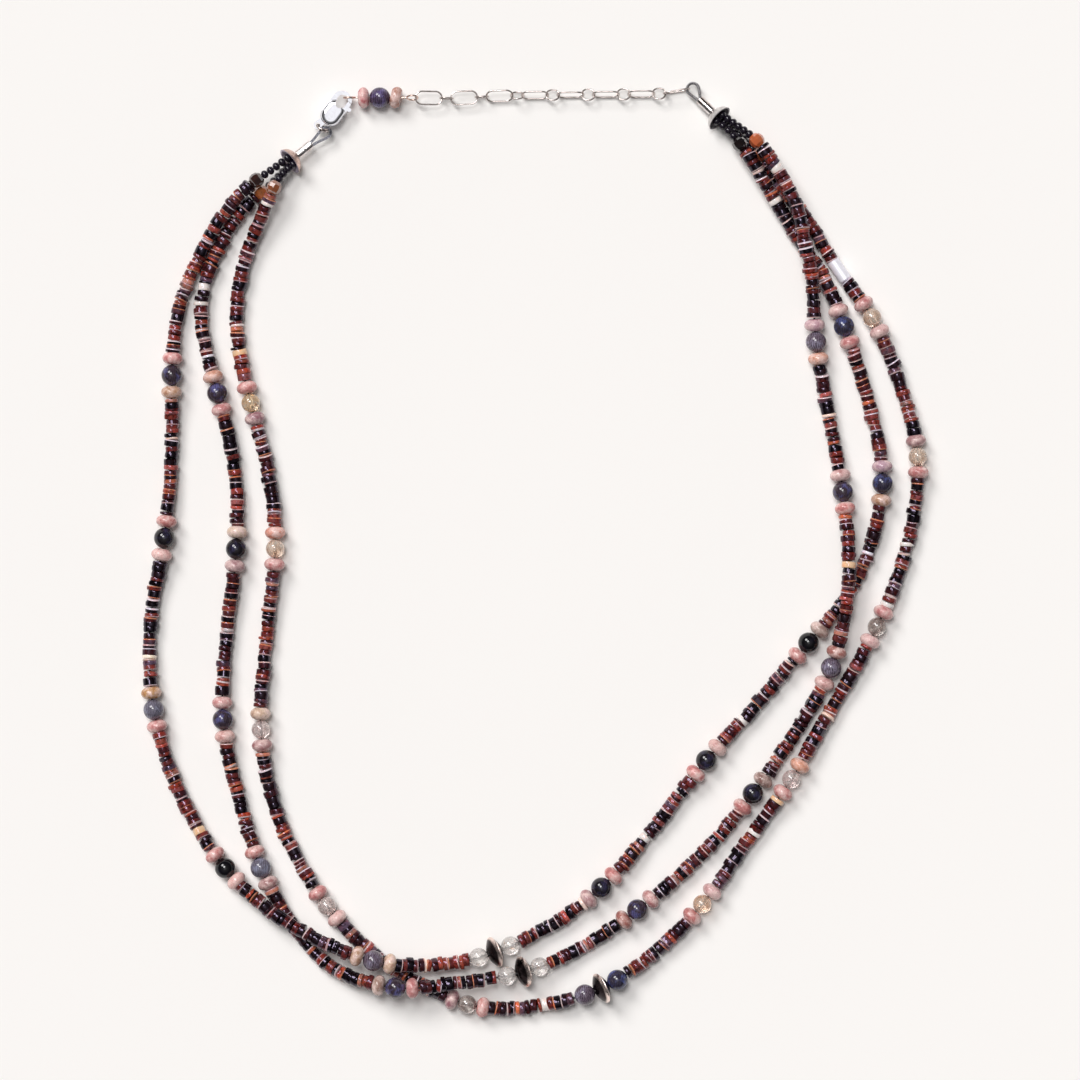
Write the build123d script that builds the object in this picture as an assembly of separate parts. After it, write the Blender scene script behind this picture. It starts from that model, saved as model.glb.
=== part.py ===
"""Three-strand heishi bead necklace, lying closed on a flat surface.

Millimetres, +Z up, the surface at Z = 0. Three bead strands run from the left
cone round the bottom to the right cone. The clasp, the bead pin and the
extender chain close the loop at the top.
"""

from build123d import *
import math
import os

os.makedirs("parts", exist_ok=True)

# Beads on the strands
HEISHI_DIAMETER = 3.4
HEISHI_BORE = 1.0
THREAD_DIAMETER = 0.5
BEAD_BORE = 1.0
BEAD_GAP = 0.12
DARK_STONE_DIAMETER = 5.2
CLEAR_STONE_DIAMETER = 4.7
RONDELLE_DIAMETER = 5.2
RONDELLE_LENGTH = 3.0
RONDELLE_FACE_DIAMETER = 3.9
SAUCER_DIAMETER = 7.9
SAUCER_LENGTH = 3.5
SAUCER_FACE_DIAMETER = 2.6
SAUCER_RIM = 0.5
CRYSTAL_DIAMETER = 3.7
CRYSTAL_LENGTH = 3.4
CRYSTAL_TABLE_DIAMETER = 2.1
CRYSTAL_GIRDLE = 0.9
CRYSTAL_SIDES = 8
SILVER_TUBE_DIAMETER = 3.3
SILVER_TUBE_LENGTH = 6.1
SILVER_TUBE_CHAMFER = 0.3

# Ends: cone, two crimps and a wire loop, measured along each end's own axis from the rim
CONE_RIM_DIAMETER = 7.0
CONE_DEPTH = 2.15
CONE_WALL = 0.4
CONE_CROWN_DIAMETER = 2.6
CONE_HOLE_DIAMETER = 1.5
LEFT_CONE_LEAN = 18.0
RIGHT_CONE_LEAN = 14.0
END_HEIGHT = 2.85
CRIMP_DIAMETER = 2.25
CRIMP_BORE = 1.4
CRIMP_LENGTH = 2.2
CRIMP_GAP = 0.1
STEM_DIAMETER = 1.2
STEM_START = 1.3
STEM_PAST_CRIMPS = 0.5
LEG_START = 0.3
LEG_CLEARANCE = 0.01
LEFT_RIM = (-61.2, 96.9)
LEFT_HEADING = 38.8
LEFT_LOOP_LENGTH = 6.1
LEFT_LOOP_RADIUS = 1.3
LEFT_LOOP_WIRE = 0.6
RIGHT_RIM = (46.5, 107.6)
RIGHT_HEADING = 136.2
RIGHT_LOOP_LENGTH = 4.9
RIGHT_LOOP_RADIUS = 1.5
RIGHT_LOOP_WIRE = 0.7
RIGHT_LOOP_BEND = -15.0

# Clasp, in its own frame: the hook is towards +Y and the lever is on the +X side
CLASP_HEADING = 53.0
CLASP_HEAD_CENTRE = (0.0, 3.8)
CLASP_HEAD_RADIUS = 2.45
CLASP_WAIST_CENTRE = (0.0, -0.9)
CLASP_WAIST_RADIUS = 2.6
CLASP_DOME_REACH = 1.8
CLASP_DOME_THICKNESS = 2.8
CLASP_DOME_FILLET = 1.2
CLASP_PLATE_THICKNESS = 1.3
CLASP_NECK_CENTRE = (-0.65, -2.7)
CLASP_NECK_RADIUS = 0.85
TAIL_EYE_CENTRE = (-1.2, -4.8)
TAIL_EYE_RADIUS = 0.98
TAIL_EYE_THICKNESS = 0.9
TAIL_EYE_HOLE = 1.3
MOUTH_CENTRE = (0.05, 3.9)
MOUTH_RADIUS = 1.4
MOUTH_LOW_CENTRE = (0.1, 2.9)
MOUTH_LOW_RADIUS = 1.2
LEVER_PIVOT = (0.95, 0.7)
LEVER_REACH = 3.9
LEVER_GAP = 0.1
LEVER_THICKNESS = 1.1
LEVER_HUB_RADIUS = 0.85
LEVER_INNER_EDGE = 1.4
LEVER_NUB_CENTRE = (2.85, 3.0)
LEVER_NUB_RADIUS = 0.5
PIVOT_DIAMETER = 0.7
PIVOT_CLEARANCE = 0.07
CLASP_CUT = 4 * CLASP_DOME_THICKNESS
HOOK_POINT_ANGLE = 60.0
RING_RADIUS = 1.43
RING_WIRE = 0.7
RING_HEADING = -31.0
RING_LEAN = 18.0

# Bead pin
PIN_HEIGHT = 2.8
PIN_WIRE = 0.45
PIN_EYE_RADIUS = 1.35
PIN_FAR_EYE_ROLL = 70.0
PIN_RONDELLE_DIAMETER = 5.3
PIN_RONDELLE_LENGTH = 2.7
# bare wire between each eye and the beads
PIN_NEAR_RUN = 0.65
PIN_FAR_RUN = 1.15
PIN_EYE_REACH = PIN_EYE_RADIUS + PIN_WIRE / 2
PIN_ROW = DARK_STONE_DIAMETER + 2 * PIN_RONDELLE_LENGTH + 2 * BEAD_GAP
PIN_STONE_PLACE = PIN_EYE_REACH + PIN_NEAR_RUN + PIN_ROW / 2
PIN_LENGTH = 2 * PIN_EYE_REACH + PIN_NEAR_RUN + PIN_ROW + PIN_FAR_RUN

# Extender chain: long links at both ends, round ones between
CHAIN_WIRE = 0.42
CHAIN_GAP = 0.1
CHAIN_WIDTH = 3.7
ROUND_LINK_LENGTH = 3.7
ROUND_LINK_WIDTH = 3.3
CHAIN_HEIGHT = 1.9
# Roll of each link about the chain, 0 flat and 90 on edge
LINK_ROLLS = (0, 90, 0, 90, 40, 130, 62, 155, 72, 165, 70, 163, 66, 160, 88)
# share of the chain's run, step sideways from the straight line as a share of it
CHAIN_BOW = ((0.14, -0.0064), (0.31, -0.0014), (0.9, -0.0142))

# Bead groups that sit on the routes
GROUPS = {
    "dark": ("rondelle", "dark", "rondelle"),
    "clear": ("rondelle", "clear", "rondelle"),
    "saucer_clear": ("clear", "saucer", "clear"),
    "saucer_dark": ("dark", "saucer", "dark"),
    "crystal": ("crystal",),
    "silver": ("silver",),
}

# Route of each strand, left cone to right cone: x, y, z, bead group at that point
ROUTES = {
    "outer": (
        (-61.0, 98.3, 3.6, ""), (-64.4, 95.5, 4.2, ""), (-69.4, 92.2, 4.9, "crystal"),
        (-75.0, 87.4, 4.3, ""), (-81.2, 78.5, 2.9, ""), (-85.7, 69.4, 1.9, ""),
        (-89.4, 59.7, 1.7, ""), (-90.8, 43.5, 3.2, "dark"), (-90.5, 23.5, 1.35, ""),
        (-92.2, 2.7, 3.2, "dark"), (-96.6, -18.2, 1.35, ""), (-95.8, -40.3, 3.2, "dark"),
        (-89.3, -61.5, 1.35, ""), (-77.8, -80.3, 3.2, "dark"), (-61.5, -94.4, 5.5, ""),
        (-40.2, -103.3, 7.6, "dark"), (-23.5, -104.6, 2.8, ""), (-9.7, -101.0, 4.7, "saucer_clear"),
        (4.8, -94.3, 1.2, ""), (17.1, -85.0, 3.45, "dark"), (29.9, -70.3, 1.35, ""),
        (42.9, -52.7, 3.2, "dark"), (55.6, -39.3, 1.35, ""), (68.6, -23.4, 3.2, "dark"),
        (82.1, -8.1, 1.35, ""), (88.2, 16.4, 3.2, "dark"), (84.4, 36.1, 1.35, ""),
        (77.6, 55.7, 3.2, "dark"), (73.1, 67.7, 2.0, ""), (67.5, 75.6, 1.8, ""),
        (63.2, 82.2, 2.3, ""), (59.2, 89.0, 3.8, ""), (55.4, 95.5, 4.9, ""),
        (51.4, 101.2, 4.9, "crystal"), (48.6, 104.8, 4.2, ""), (44.9, 107.5, 3.6, ""),
    ),
    "middle": (
        (-60.3, 97.5, 2.0, ""), (-63.2, 93.8, 2.1, ""), (-68.2, 89.2, 1.95, "crystal"),
        (-73.7, 84.5, 1.8, ""), (-78.8, 75.9, 1.8, ""), (-82.8, 66.6, 1.8, ""),
        (-83.8, 55.9, 1.65, ""), (-79.2, 39.0, 3.2, "dark"), (-74.3, 19.8, 1.35, ""),
        (-74.2, 0.0, 3.2, "dark"), (-77.1, -21.2, 1.35, ""), (-78.4, -42.7, 3.2, "dark"),
        (-74.6, -60.8, 1.35, ""), (-68.7, -79.9, 3.3, "dark"), (-61.0, -93.9, 1.5, ""),
        (-51.0, -105.7, 2.6, ""), (-34.7, -110.1, 7.7, "dark"), (-18.4, -108.4, 5.1, ""),
        (-2.5, -106.1, 4.3, "saucer_clear"), (12.8, -99.8, 1.2, ""), (25.9, -90.3, 3.3, "dark"),
        (41.3, -77.8, 1.35, ""), (54.9, -61.3, 3.2, "dark"), (66.1, -45.2, 1.3, ""),
        (74.9, -29.9, 3.1, "dark"), (79.4, -8.3, 6.7, ""), (77.5, 14.3, 3.0, "dark"),
        (73.8, 33.5, 1.3, ""), (70.3, 51.8, 3.2, "dark"), (69.7, 66.5, 4.9, ""),
        (67.6, 76.0, 5.7, ""), (66.1, 85.1, 5.5, ""), (61.6, 93.9, 5.5, ""),
        (55.8, 102.2, 5.2, "crystal"), (51.2, 105.5, 4.2, ""), (46.4, 109.0, 3.6, ""),
    ),
    "inner": (
        (-59.6, 96.7, 3.6, ""), (-62.4, 94.5, 4.3, ""), (-65.0, 90.3, 5.4, "crystal"),
        (-68.0, 83.5, 3.8, ""), (-71.3, 75.5, 2.1, ""), (-74.2, 65.8, 1.8, ""),
        (-74.8, 53.5, 1.7, ""), (-71.0, 36.5, 3.2, "clear"), (-65.9, 18.7, 1.35, ""),
        (-64.3, 0.1, 3.2, "clear"), (-67.1, -21.5, 1.35, ""), (-69.0, -45.2, 3.2, "clear"),
        (-64.9, -67.7, 1.35, ""), (-52.3, -89.7, 3.2, "clear"), (-37.9, -104.2, 1.3, ""),
        (-16.9, -114.7, 3.3, "clear"), (-0.6, -115.2, 1.3, ""), (17.1, -110.3, 4.9, "saucer_dark"),
        (30.7, -101.3, 1.2, ""), (42.3, -89.0, 3.3, "clear"), (53.3, -73.3, 1.35, ""),
        (64.6, -57.7, 3.2, "clear"), (74.8, -39.6, 1.35, ""), (86.1, -19.6, 3.2, "clear"),
        (94.1, 0.7, 1.35, ""), (96.9, 23.2, 3.2, "clear"), (91.6, 42.4, 1.35, ""),
        (84.9, 58.1, 3.3, "clear"), (76.3, 69.6, 1.7, "silver"), (69.2, 81.3, 1.8, ""),
        (63.6, 89.0, 1.8, ""), (56.2, 98.4, 1.9, "crystal"), (51.1, 104.5, 2.1, ""),
        (45.6, 108.3, 2.0, ""),
    ),
}

# Step that brings the middle of the whole necklace's box over the origin and its lowest point to 0
CENTRING = (-0.196, 0.142, 0.005)

RUN_SHARE = 0.45


def along(heading):
    """Horizontal unit vector at a heading in degrees, 0 along +X."""
    turn = math.radians(heading)
    return Vector(math.cos(turn), math.sin(turn), 0)


def only_solid(shape):
    """The one solid of a shape."""
    return shape.solids()[0]


# Bead shapes, each on the Z axis about the origin, drilled along Z


def drilled(shape, length):
    return only_solid(shape - Cylinder(BEAD_BORE / 2, length + 1))


def turned(*profile):
    """A solid turned about Z from a closed outline of radius and height."""
    outline = [Plane.XZ * edge for edge in profile]
    return only_solid(revolve(make_face(outline), axis=Axis.Z))


def round_bead(diameter):
    return drilled(Sphere(diameter / 2), diameter)


def rondelle(diameter, length):
    bore = BEAD_BORE / 2
    face = RONDELLE_FACE_DIAMETER / 2
    half = length / 2
    return turned(
        Line((bore, -half), (face, -half)),
        ThreePointArc((face, -half), (diameter / 2, 0), (face, half)),
        Line((face, half), (bore, half)),
        Line((bore, half), (bore, -half)),
    )


def saucer():
    bore = BEAD_BORE / 2
    face = SAUCER_FACE_DIAMETER / 2
    rim = SAUCER_DIAMETER / 2
    half = SAUCER_LENGTH / 2
    lip = SAUCER_RIM / 2
    swell = ((face + rim) / 2 + 0.1, (half + lip) / 2 + 0.15)
    return turned(
        Line((bore, -half), (face, -half)),
        ThreePointArc((face, -half), (swell[0], -swell[1]), (rim, -lip)),
        Line((rim, -lip), (rim, lip)),
        ThreePointArc((rim, lip), swell, (face, half)),
        Line((face, half), (bore, half)),
        Line((bore, half), (bore, -half)),
    )


def crystal():
    """Eight crown facets, eight girdle facets, eight base facets and two tables."""
    rings = (
        (-CRYSTAL_LENGTH / 2, CRYSTAL_TABLE_DIAMETER / 2),
        (-CRYSTAL_GIRDLE / 2, CRYSTAL_DIAMETER / 2),
        (CRYSTAL_GIRDLE / 2, CRYSTAL_DIAMETER / 2),
        (CRYSTAL_LENGTH / 2, CRYSTAL_TABLE_DIAMETER / 2),
    )
    sections = [Pos(0, 0, z) * RegularPolygon(radius, CRYSTAL_SIDES) for z, radius in rings]
    return drilled(loft(sections, ruled=True), CRYSTAL_LENGTH)


def silver_tube():
    body = Cylinder(SILVER_TUBE_DIAMETER / 2, SILVER_TUBE_LENGTH)
    body = chamfer(body.edges().filter_by(GeomType.CIRCLE), SILVER_TUBE_CHAMFER)
    return drilled(body, SILVER_TUBE_LENGTH)


BEADS = {
    "dark": (DARK_STONE_DIAMETER, round_bead(DARK_STONE_DIAMETER)),
    "clear": (CLEAR_STONE_DIAMETER, round_bead(CLEAR_STONE_DIAMETER)),
    "rondelle": (RONDELLE_LENGTH, rondelle(RONDELLE_DIAMETER, RONDELLE_LENGTH)),
    "saucer": (SAUCER_LENGTH, saucer()),
    "crystal": (CRYSTAL_LENGTH, crystal()),
    "silver": (SILVER_TUBE_LENGTH, silver_tube()),
}


# Strands


def corners(points):
    """Corner radii of a route, and how far along it the middle of each corner lies."""
    radii = []
    middles = []
    done = 0.0
    used = 0.0
    for before, point, after in zip(points, points[1:], points[2:]):
        run_in = point - before
        run_out = after - point
        turn = math.radians(run_in.get_angle(run_out))
        cut = RUN_SHARE * min(run_in.length, run_out.length)
        radius = cut / math.tan(turn / 2)
        radii.append(radius)
        done += run_in.length - used - cut
        middles.append(done + radius * turn / 2)
        done += radius * turn
        used = cut
    return radii, middles


def tube(path, start, end, diameter, bore=0.0):
    """A round tube along part of a path, checked against its section times its length."""
    span = path.trim(start / path.length, end / path.length)
    section = Circle(diameter / 2)
    if bore:
        section = section - Circle(bore / 2)
    square_on = Plane(origin=span.position_at(0), z_dir=span.tangent_at(0))
    solid = only_solid(sweep(square_on * section, path=span))
    expected = math.pi * (diameter ** 2 - bore ** 2) / 4 * span.length
    if abs(solid.volume / expected - 1) > 0.001:
        print("tube volume", solid.volume, "expected", expected)
    return solid


def strand(name):
    """Every bead and tube of one strand, as node name to list of solids."""
    route = ROUTES[name]
    points = [Vector(x, y, z) for x, y, z, group in route]
    radii, middles = corners(points)
    path = FilletPolyline(*points, radius=radii).wire()
    print(name, "strand", round(path.length, 1), "long, radii", [round(r, 1) for r in radii])
    nodes = {}
    stones = 0
    run_start = None
    for (x, y, z, group), middle in zip(route[1:-1], middles):
        if not group:
            continue
        kinds = GROUPS[group]
        length = sum(BEADS[kind][0] for kind in kinds) + BEAD_GAP * (len(kinds) - 1)
        place = middle - length / 2
        if run_start is not None:
            run = tube(path, run_start, place - BEAD_GAP, HEISHI_DIAMETER, HEISHI_BORE)
            nodes.setdefault(name + "_heishi", []).append(run)
        for kind in kinds:
            bead_length, shape = BEADS[kind]
            at = place + bead_length / 2
            seat = Plane(
                origin=path.position_at(at, position_mode=PositionMode.LENGTH),
                z_dir=path.tangent_at(at, position_mode=PositionMode.LENGTH),
            )
            if kind in ("dark", "clear"):
                stones += 1
                node = f"{name}_stone_{stones:02d}"
            elif kind == "saucer":
                node = name + "_saucer"
            elif kind == "rondelle":
                node = name + "_rondelles"
            elif kind == "crystal":
                node = "end_crystals"
            else:
                node = "silver_tube"
            nodes.setdefault(node, []).append(seat.location * shape)
            place += bead_length + BEAD_GAP
        run_start = place
    nodes["threads"] = [tube(path, 0, path.length, THREAD_DIAMETER)]
    return nodes


# Ends


CONE_PIVOT = CONE_DEPTH - CONE_WALL / 2
CROWN_REACH = CONE_CROWN_DIAMETER / 2 * math.sin(math.radians(max(LEFT_CONE_LEAN, RIGHT_CONE_LEAN)))
FIRST_CRIMP = CONE_DEPTH + CROWN_REACH + CRIMP_GAP
CRIMP_STARTS = (FIRST_CRIMP, FIRST_CRIMP + CRIMP_LENGTH + CRIMP_GAP)
LOOP_START = CRIMP_STARTS[1] + CRIMP_LENGTH


def end_plane(rim, heading, reach, height):
    """Plane at a cone's mouth, tilted so that a point at the given reach is at the given height."""
    drop = math.asin((END_HEIGHT - height) / reach)
    level = along(heading)
    axis = level * math.cos(drop) - Vector(0, 0, math.sin(drop))
    return Plane(origin=(rim[0], rim[1], END_HEIGHT), x_dir=along(heading + 90), z_dir=axis)


def cone():
    """Shallow dish, rim at Z = 0 and crown up, with a hole for the wires."""
    rim = CONE_RIM_DIAMETER / 2
    crown = CONE_CROWN_DIAMETER / 2
    hole = CONE_HOLE_DIAMETER / 2
    inner_top = CONE_DEPTH - CONE_WALL
    shoulder = ((rim + crown) / 2 + 0.45, CONE_DEPTH / 2 + 0.15)
    return turned(
        ThreePointArc((rim, 0), shoulder, (crown, CONE_DEPTH)),
        Line((crown, CONE_DEPTH), (hole, CONE_DEPTH)),
        Line((hole, CONE_DEPTH), (hole, inner_top)),
        Line((hole, inner_top), (crown - 0.1, inner_top)),
        ThreePointArc(
            (crown - 0.1, inner_top),
            (shoulder[0] - CONE_WALL, shoulder[1] - 0.3),
            (rim - CONE_WALL, 0),
        ),
        Line((rim - CONE_WALL, 0), (rim, 0)),
    )


def leaning_cone(lean):
    """The cone, tipped about its hole so that its mouth faces a little upwards."""
    return Pos(0, 0, CONE_PIVOT) * Rotation(lean, 0, 0) * Pos(0, 0, -CONE_PIVOT) * cone()


def crimps():
    body = Cylinder(CRIMP_DIAMETER / 2, CRIMP_LENGTH)
    body = fillet(body.edges().filter_by(GeomType.CIRCLE), 0.15)
    one = only_solid(body - Cylinder(CRIMP_BORE / 2, CRIMP_LENGTH + 1))
    return [Pos(0, 0, start + CRIMP_LENGTH / 2) * one for start in CRIMP_STARTS]


def wire_loop(length, radius, wire, bend):
    """The doubled wires through the crimps and their loop, in the frame of an end."""
    swing = math.radians(bend)
    loop_plane = Plane(
        origin=(0, 0, LOOP_START),
        x_dir=(math.cos(swing), 0, -math.sin(swing)),
        z_dir=(math.sin(swing), 0, math.cos(swing)),
    )
    far = length - wire / 2 - radius
    start = LEG_START
    spread = wire / 2 + LEG_CLEARANCE
    tangent_turn = math.atan2(spread, far - start) + math.acos(radius / math.hypot(spread, far - start))
    touch = (radius * math.sin(tangent_turn), far - radius * math.cos(tangent_turn))
    left = Vector(-touch[0], 0, touch[1])
    right = Vector(touch[0], 0, touch[1])
    path = Curve() + [
        Line((-spread, 0, start), left),
        ThreePointArc(left, (0, 0, far + radius), right),
        Line(right, (spread, 0, start)),
    ]
    wire_path = path.wire()
    square_on = Plane(origin=wire_path.position_at(0), z_dir=wire_path.tangent_at(0))
    bow = sweep(square_on * Circle(wire / 2), path=wire_path, transition=Transition.ROUND)
    stem_length = LOOP_START + STEM_PAST_CRIMPS - STEM_START
    stem = Pos(0, 0, STEM_START + stem_length / 2) * Cylinder(STEM_DIAMETER / 2, stem_length)
    return only_solid(stem + loop_plane.location * only_solid(bow))


LEFT_RING_PLACE = LOOP_START + LEFT_LOOP_LENGTH - LEFT_LOOP_WIRE - CHAIN_GAP - RING_WIRE / 2
LEFT_END = end_plane(LEFT_RIM, LEFT_HEADING, LEFT_RING_PLACE, PIN_HEIGHT)
RIGHT_LOOP_MIDDLE = RIGHT_LOOP_LENGTH - RIGHT_LOOP_WIRE / 2 - RIGHT_LOOP_RADIUS
RIGHT_END = end_plane(RIGHT_RIM, RIGHT_HEADING, LOOP_START + RIGHT_LOOP_MIDDLE, CHAIN_HEIGHT)


def ends():
    left = LEFT_END.location
    right = RIGHT_END.location
    left_loop = wire_loop(LEFT_LOOP_LENGTH, LEFT_LOOP_RADIUS, LEFT_LOOP_WIRE, 0.0)
    right_loop = wire_loop(RIGHT_LOOP_LENGTH, RIGHT_LOOP_RADIUS, RIGHT_LOOP_WIRE, RIGHT_LOOP_BEND)
    return {
        "left_cone": [left * leaning_cone(LEFT_CONE_LEAN)],
        "right_cone": [right * leaning_cone(RIGHT_CONE_LEAN)],
        "crimps": [left * one for one in crimps()] + [right * one for one in crimps()],
        "left_wire_loop": [left * left_loop],
        "right_wire_loop": [right * right_loop],
    }


# Clasp


RING_JOIN = LEFT_END.from_local_coords(Vector(0, 0, LEFT_RING_PLACE))
RING_CENTRE = RING_JOIN - along(RING_HEADING) * RING_RADIUS
TAIL_EYE = RING_JOIN - along(RING_HEADING) * RING_RADIUS * 2
CLASP_TURN = Rotation(0, 0, CLASP_HEADING - 90)
CLASP_ORIGIN = TAIL_EYE - (CLASP_TURN * Pos(TAIL_EYE_CENTRE[0], TAIL_EYE_CENTRE[1], 0)).position
CLASP_PLACE = Location(CLASP_ORIGIN) * CLASP_TURN
HOOK_CENTRELINE = (CLASP_HEAD_RADIUS + MOUTH_RADIUS) / 2
HOOK_POINT = (
    CLASP_HEAD_CENTRE[0] + HOOK_CENTRELINE * math.cos(math.radians(HOOK_POINT_ANGLE)),
    CLASP_HEAD_CENTRE[1] + HOOK_CENTRELINE * math.sin(math.radians(HOOK_POINT_ANGLE)),
)
PIN_START = (CLASP_PLACE * Pos(HOOK_POINT[0], HOOK_POINT[1], 0)).position


def disc(centre, radius):
    return Pos(centre[0], centre[1]) * Circle(radius)


def rounded(*discs):
    """The outline that a tight band round several discs would have."""
    return make_hull([edge for each in discs for edge in each.edges()])


def slab(sketch, thickness):
    return extrude(sketch, thickness / 2, both=True)


def clasp_outline():
    case = rounded(
        disc(CLASP_HEAD_CENTRE, CLASP_HEAD_RADIUS),
        disc(CLASP_WAIST_CENTRE, CLASP_WAIST_RADIUS),
    )
    tail = rounded(
        disc(CLASP_NECK_CENTRE, CLASP_NECK_RADIUS),
        disc(TAIL_EYE_CENTRE, TAIL_EYE_RADIUS),
    )
    return case + tail


def right_of(edge, low):
    """A large rectangle whose left side is at edge and whose lower side is at low."""
    return Pos(edge + CLASP_CUT / 2, low + CLASP_CUT / 2) * Rectangle(CLASP_CUT, CLASP_CUT)


def clasp_body():
    waist = disc(CLASP_WAIST_CENTRE, CLASP_WAIST_RADIUS)
    dome_top = (CLASP_WAIST_CENTRE[0], CLASP_WAIST_CENTRE[1] + CLASP_DOME_REACH)
    dome = slab(rounded(waist, disc(dome_top, CLASP_WAIST_RADIUS)), CLASP_DOME_THICKNESS)
    flat_edges = dome.faces().filter_by(Axis.Z).edges()
    dome = fillet(flat_edges, CLASP_DOME_FILLET)
    body = dome + slab(clasp_outline(), CLASP_PLATE_THICKNESS)
    mouth = rounded(disc(MOUTH_CENTRE, MOUTH_RADIUS), disc(MOUTH_LOW_CENTRE, MOUTH_LOW_RADIUS))
    sweep_disc = disc(LEVER_PIVOT, LEVER_REACH + LEVER_GAP)
    gate = sweep_disc & right_of(LEVER_INNER_EDGE - 2 * LEVER_GAP, LEVER_PIVOT[1] + 1.5)
    body = body - slab(mouth, CLASP_CUT) - slab(gate, CLASP_CUT)
    slot = (sweep_disc & right_of(-0.7, LEVER_PIVOT[1])) + disc(LEVER_PIVOT, LEVER_HUB_RADIUS + 0.15)
    body = body - slab(slot, LEVER_THICKNESS + 2 * LEVER_GAP)
    tail_trim = disc(TAIL_EYE_CENTRE, TAIL_EYE_RADIUS + 0.2)
    for side in (-1, 1):
        off = side * (TAIL_EYE_THICKNESS + CLASP_CUT) / 2
        body = body - Pos(0, 0, off) * slab(tail_trim, CLASP_CUT)
    body = body - slab(disc(TAIL_EYE_CENTRE, TAIL_EYE_HOLE / 2), CLASP_CUT)
    body = body + slab(disc(LEVER_PIVOT, PIVOT_DIAMETER / 2), CLASP_DOME_THICKNESS - 0.4)
    return CLASP_PLACE * only_solid(body)


def clasp_lever():
    reach = disc(LEVER_PIVOT, LEVER_REACH)
    arm = clasp_outline() & reach & right_of(LEVER_INNER_EDGE, LEVER_PIVOT[1] + 0.3)
    nub_root = (LEVER_NUB_CENTRE[0] - 0.9, LEVER_NUB_CENTRE[1] - 0.2)
    nub = rounded(disc(nub_root, 0.4), disc(LEVER_NUB_CENTRE, LEVER_NUB_RADIUS))
    web_top = (LEVER_INNER_EDGE + 0.35, LEVER_PIVOT[1] + 1.6)
    web = rounded(disc(LEVER_PIVOT, LEVER_HUB_RADIUS), disc(web_top, 0.35))
    shape = arm + nub + web
    shape = shape - disc(LEVER_PIVOT, PIVOT_DIAMETER / 2 + PIVOT_CLEARANCE)
    return CLASP_PLACE * only_solid(slab(shape, LEVER_THICKNESS))


def clasp_ring():
    place = Plane(origin=RING_CENTRE, x_dir=along(RING_HEADING), z_dir=along(RING_HEADING + 90))
    return place.location * Rotation(RING_LEAN, 0, 0) * only_solid(Torus(RING_RADIUS, RING_WIRE / 2))


# Bead pin and extender chain


def bead_pin():
    """Wire with an eye at each end, from the hook towards +X."""
    eye = Rotation(90, 0, 0) * Torus(PIN_EYE_RADIUS, PIN_WIRE / 2)
    shaft_length = PIN_LENGTH - 2 * PIN_EYE_RADIUS
    shaft = Pos(PIN_LENGTH / 2, 0, 0) * Rotation(0, 90, 0) * Cylinder(PIN_WIRE / 2, shaft_length)
    far_eye = Pos(PIN_LENGTH, 0, 0) * Rotation(PIN_FAR_EYE_ROLL, 0, 0) * Torus(PIN_EYE_RADIUS, PIN_WIRE / 2)
    return Location(PIN_START) * only_solid(eye + shaft + far_eye)


def pin_beads():
    """Dark stone between two rondelles."""
    reach = (DARK_STONE_DIAMETER + PIN_RONDELLE_LENGTH) / 2 + BEAD_GAP
    side = rondelle(PIN_RONDELLE_DIAMETER, PIN_RONDELLE_LENGTH)
    beads = ((-reach, side), (0, BEADS["dark"][1]), (reach, side))
    lying = Rotation(0, 90, 0)
    return [
        Location(PIN_START) * Pos(PIN_STONE_PLACE + step, 0, 0) * lying * shape
        for step, shape in beads
    ]


def link(length, width):
    """Link in the XY plane, long along X."""
    path = SlotOverall(length - CHAIN_WIRE, width - CHAIN_WIRE).wire()
    square_on = Plane(origin=path.position_at(0), z_dir=path.tangent_at(0))
    return only_solid(sweep(square_on * Circle(CHAIN_WIRE / 2), path=path))


def chain_points():
    """Where neighbouring links touch, from the pin's eye to the right loop."""
    half_gap = CHAIN_GAP / 2
    start = PIN_START + Vector(PIN_LENGTH + PIN_EYE_RADIUS - PIN_WIRE / 2 - half_gap, 0, 0)
    bent = RIGHT_END.z_dir * math.cos(math.radians(RIGHT_LOOP_BEND))
    bent = bent + RIGHT_END.x_dir * math.sin(math.radians(RIGHT_LOOP_BEND))
    loop_start = RIGHT_END.from_local_coords(Vector(0, 0, LOOP_START))
    loop_middle = loop_start + bent * RIGHT_LOOP_MIDDLE
    end = loop_middle - Vector(RIGHT_LOOP_RADIUS - RIGHT_LOOP_WIRE / 2 - half_gap, 0, 0)
    span = end - start
    corner_points = [start]
    for share, step in CHAIN_BOW:
        point = start + span * share + Vector(0, step * span.length, 0)
        corner_points.append(Vector(point.X, point.Y, CHAIN_HEIGHT))
    corner_points.append(end)
    line = Polyline(*corner_points).wire()
    slack = 2 * CHAIN_WIRE + CHAIN_GAP
    round_pitch = ROUND_LINK_LENGTH - slack
    rounds = len(LINK_ROLLS) // 2
    long_pitch = (line.length - rounds * round_pitch) / (rounds + 1)
    print("long links", round(long_pitch + slack, 2), "chain", round(line.length, 1))
    places = [start]
    done = 0.0
    for number in range(len(LINK_ROLLS)):
        done += round_pitch if number % 2 else long_pitch
        share = min(done / line.length, 1.0)
        places.append(line.position_at(share))
    return places, long_pitch + slack


def extender_chain():
    places, long_length = chain_points()
    shapes = (link(long_length, CHAIN_WIDTH), link(ROUND_LINK_LENGTH, ROUND_LINK_WIDTH))
    links = []
    for number, roll in enumerate(LINK_ROLLS):
        start, end = places[number], places[number + 1]
        run = end - start
        flat = Plane(origin=(start + end) / 2, x_dir=run, z_dir=Vector(0, 0, 1).cross(run).cross(run) * -1)
        links.append(flat.location * Rotation(roll, 0, 0) * shapes[number % 2])
    return links


# Everything, written out node by node


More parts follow.
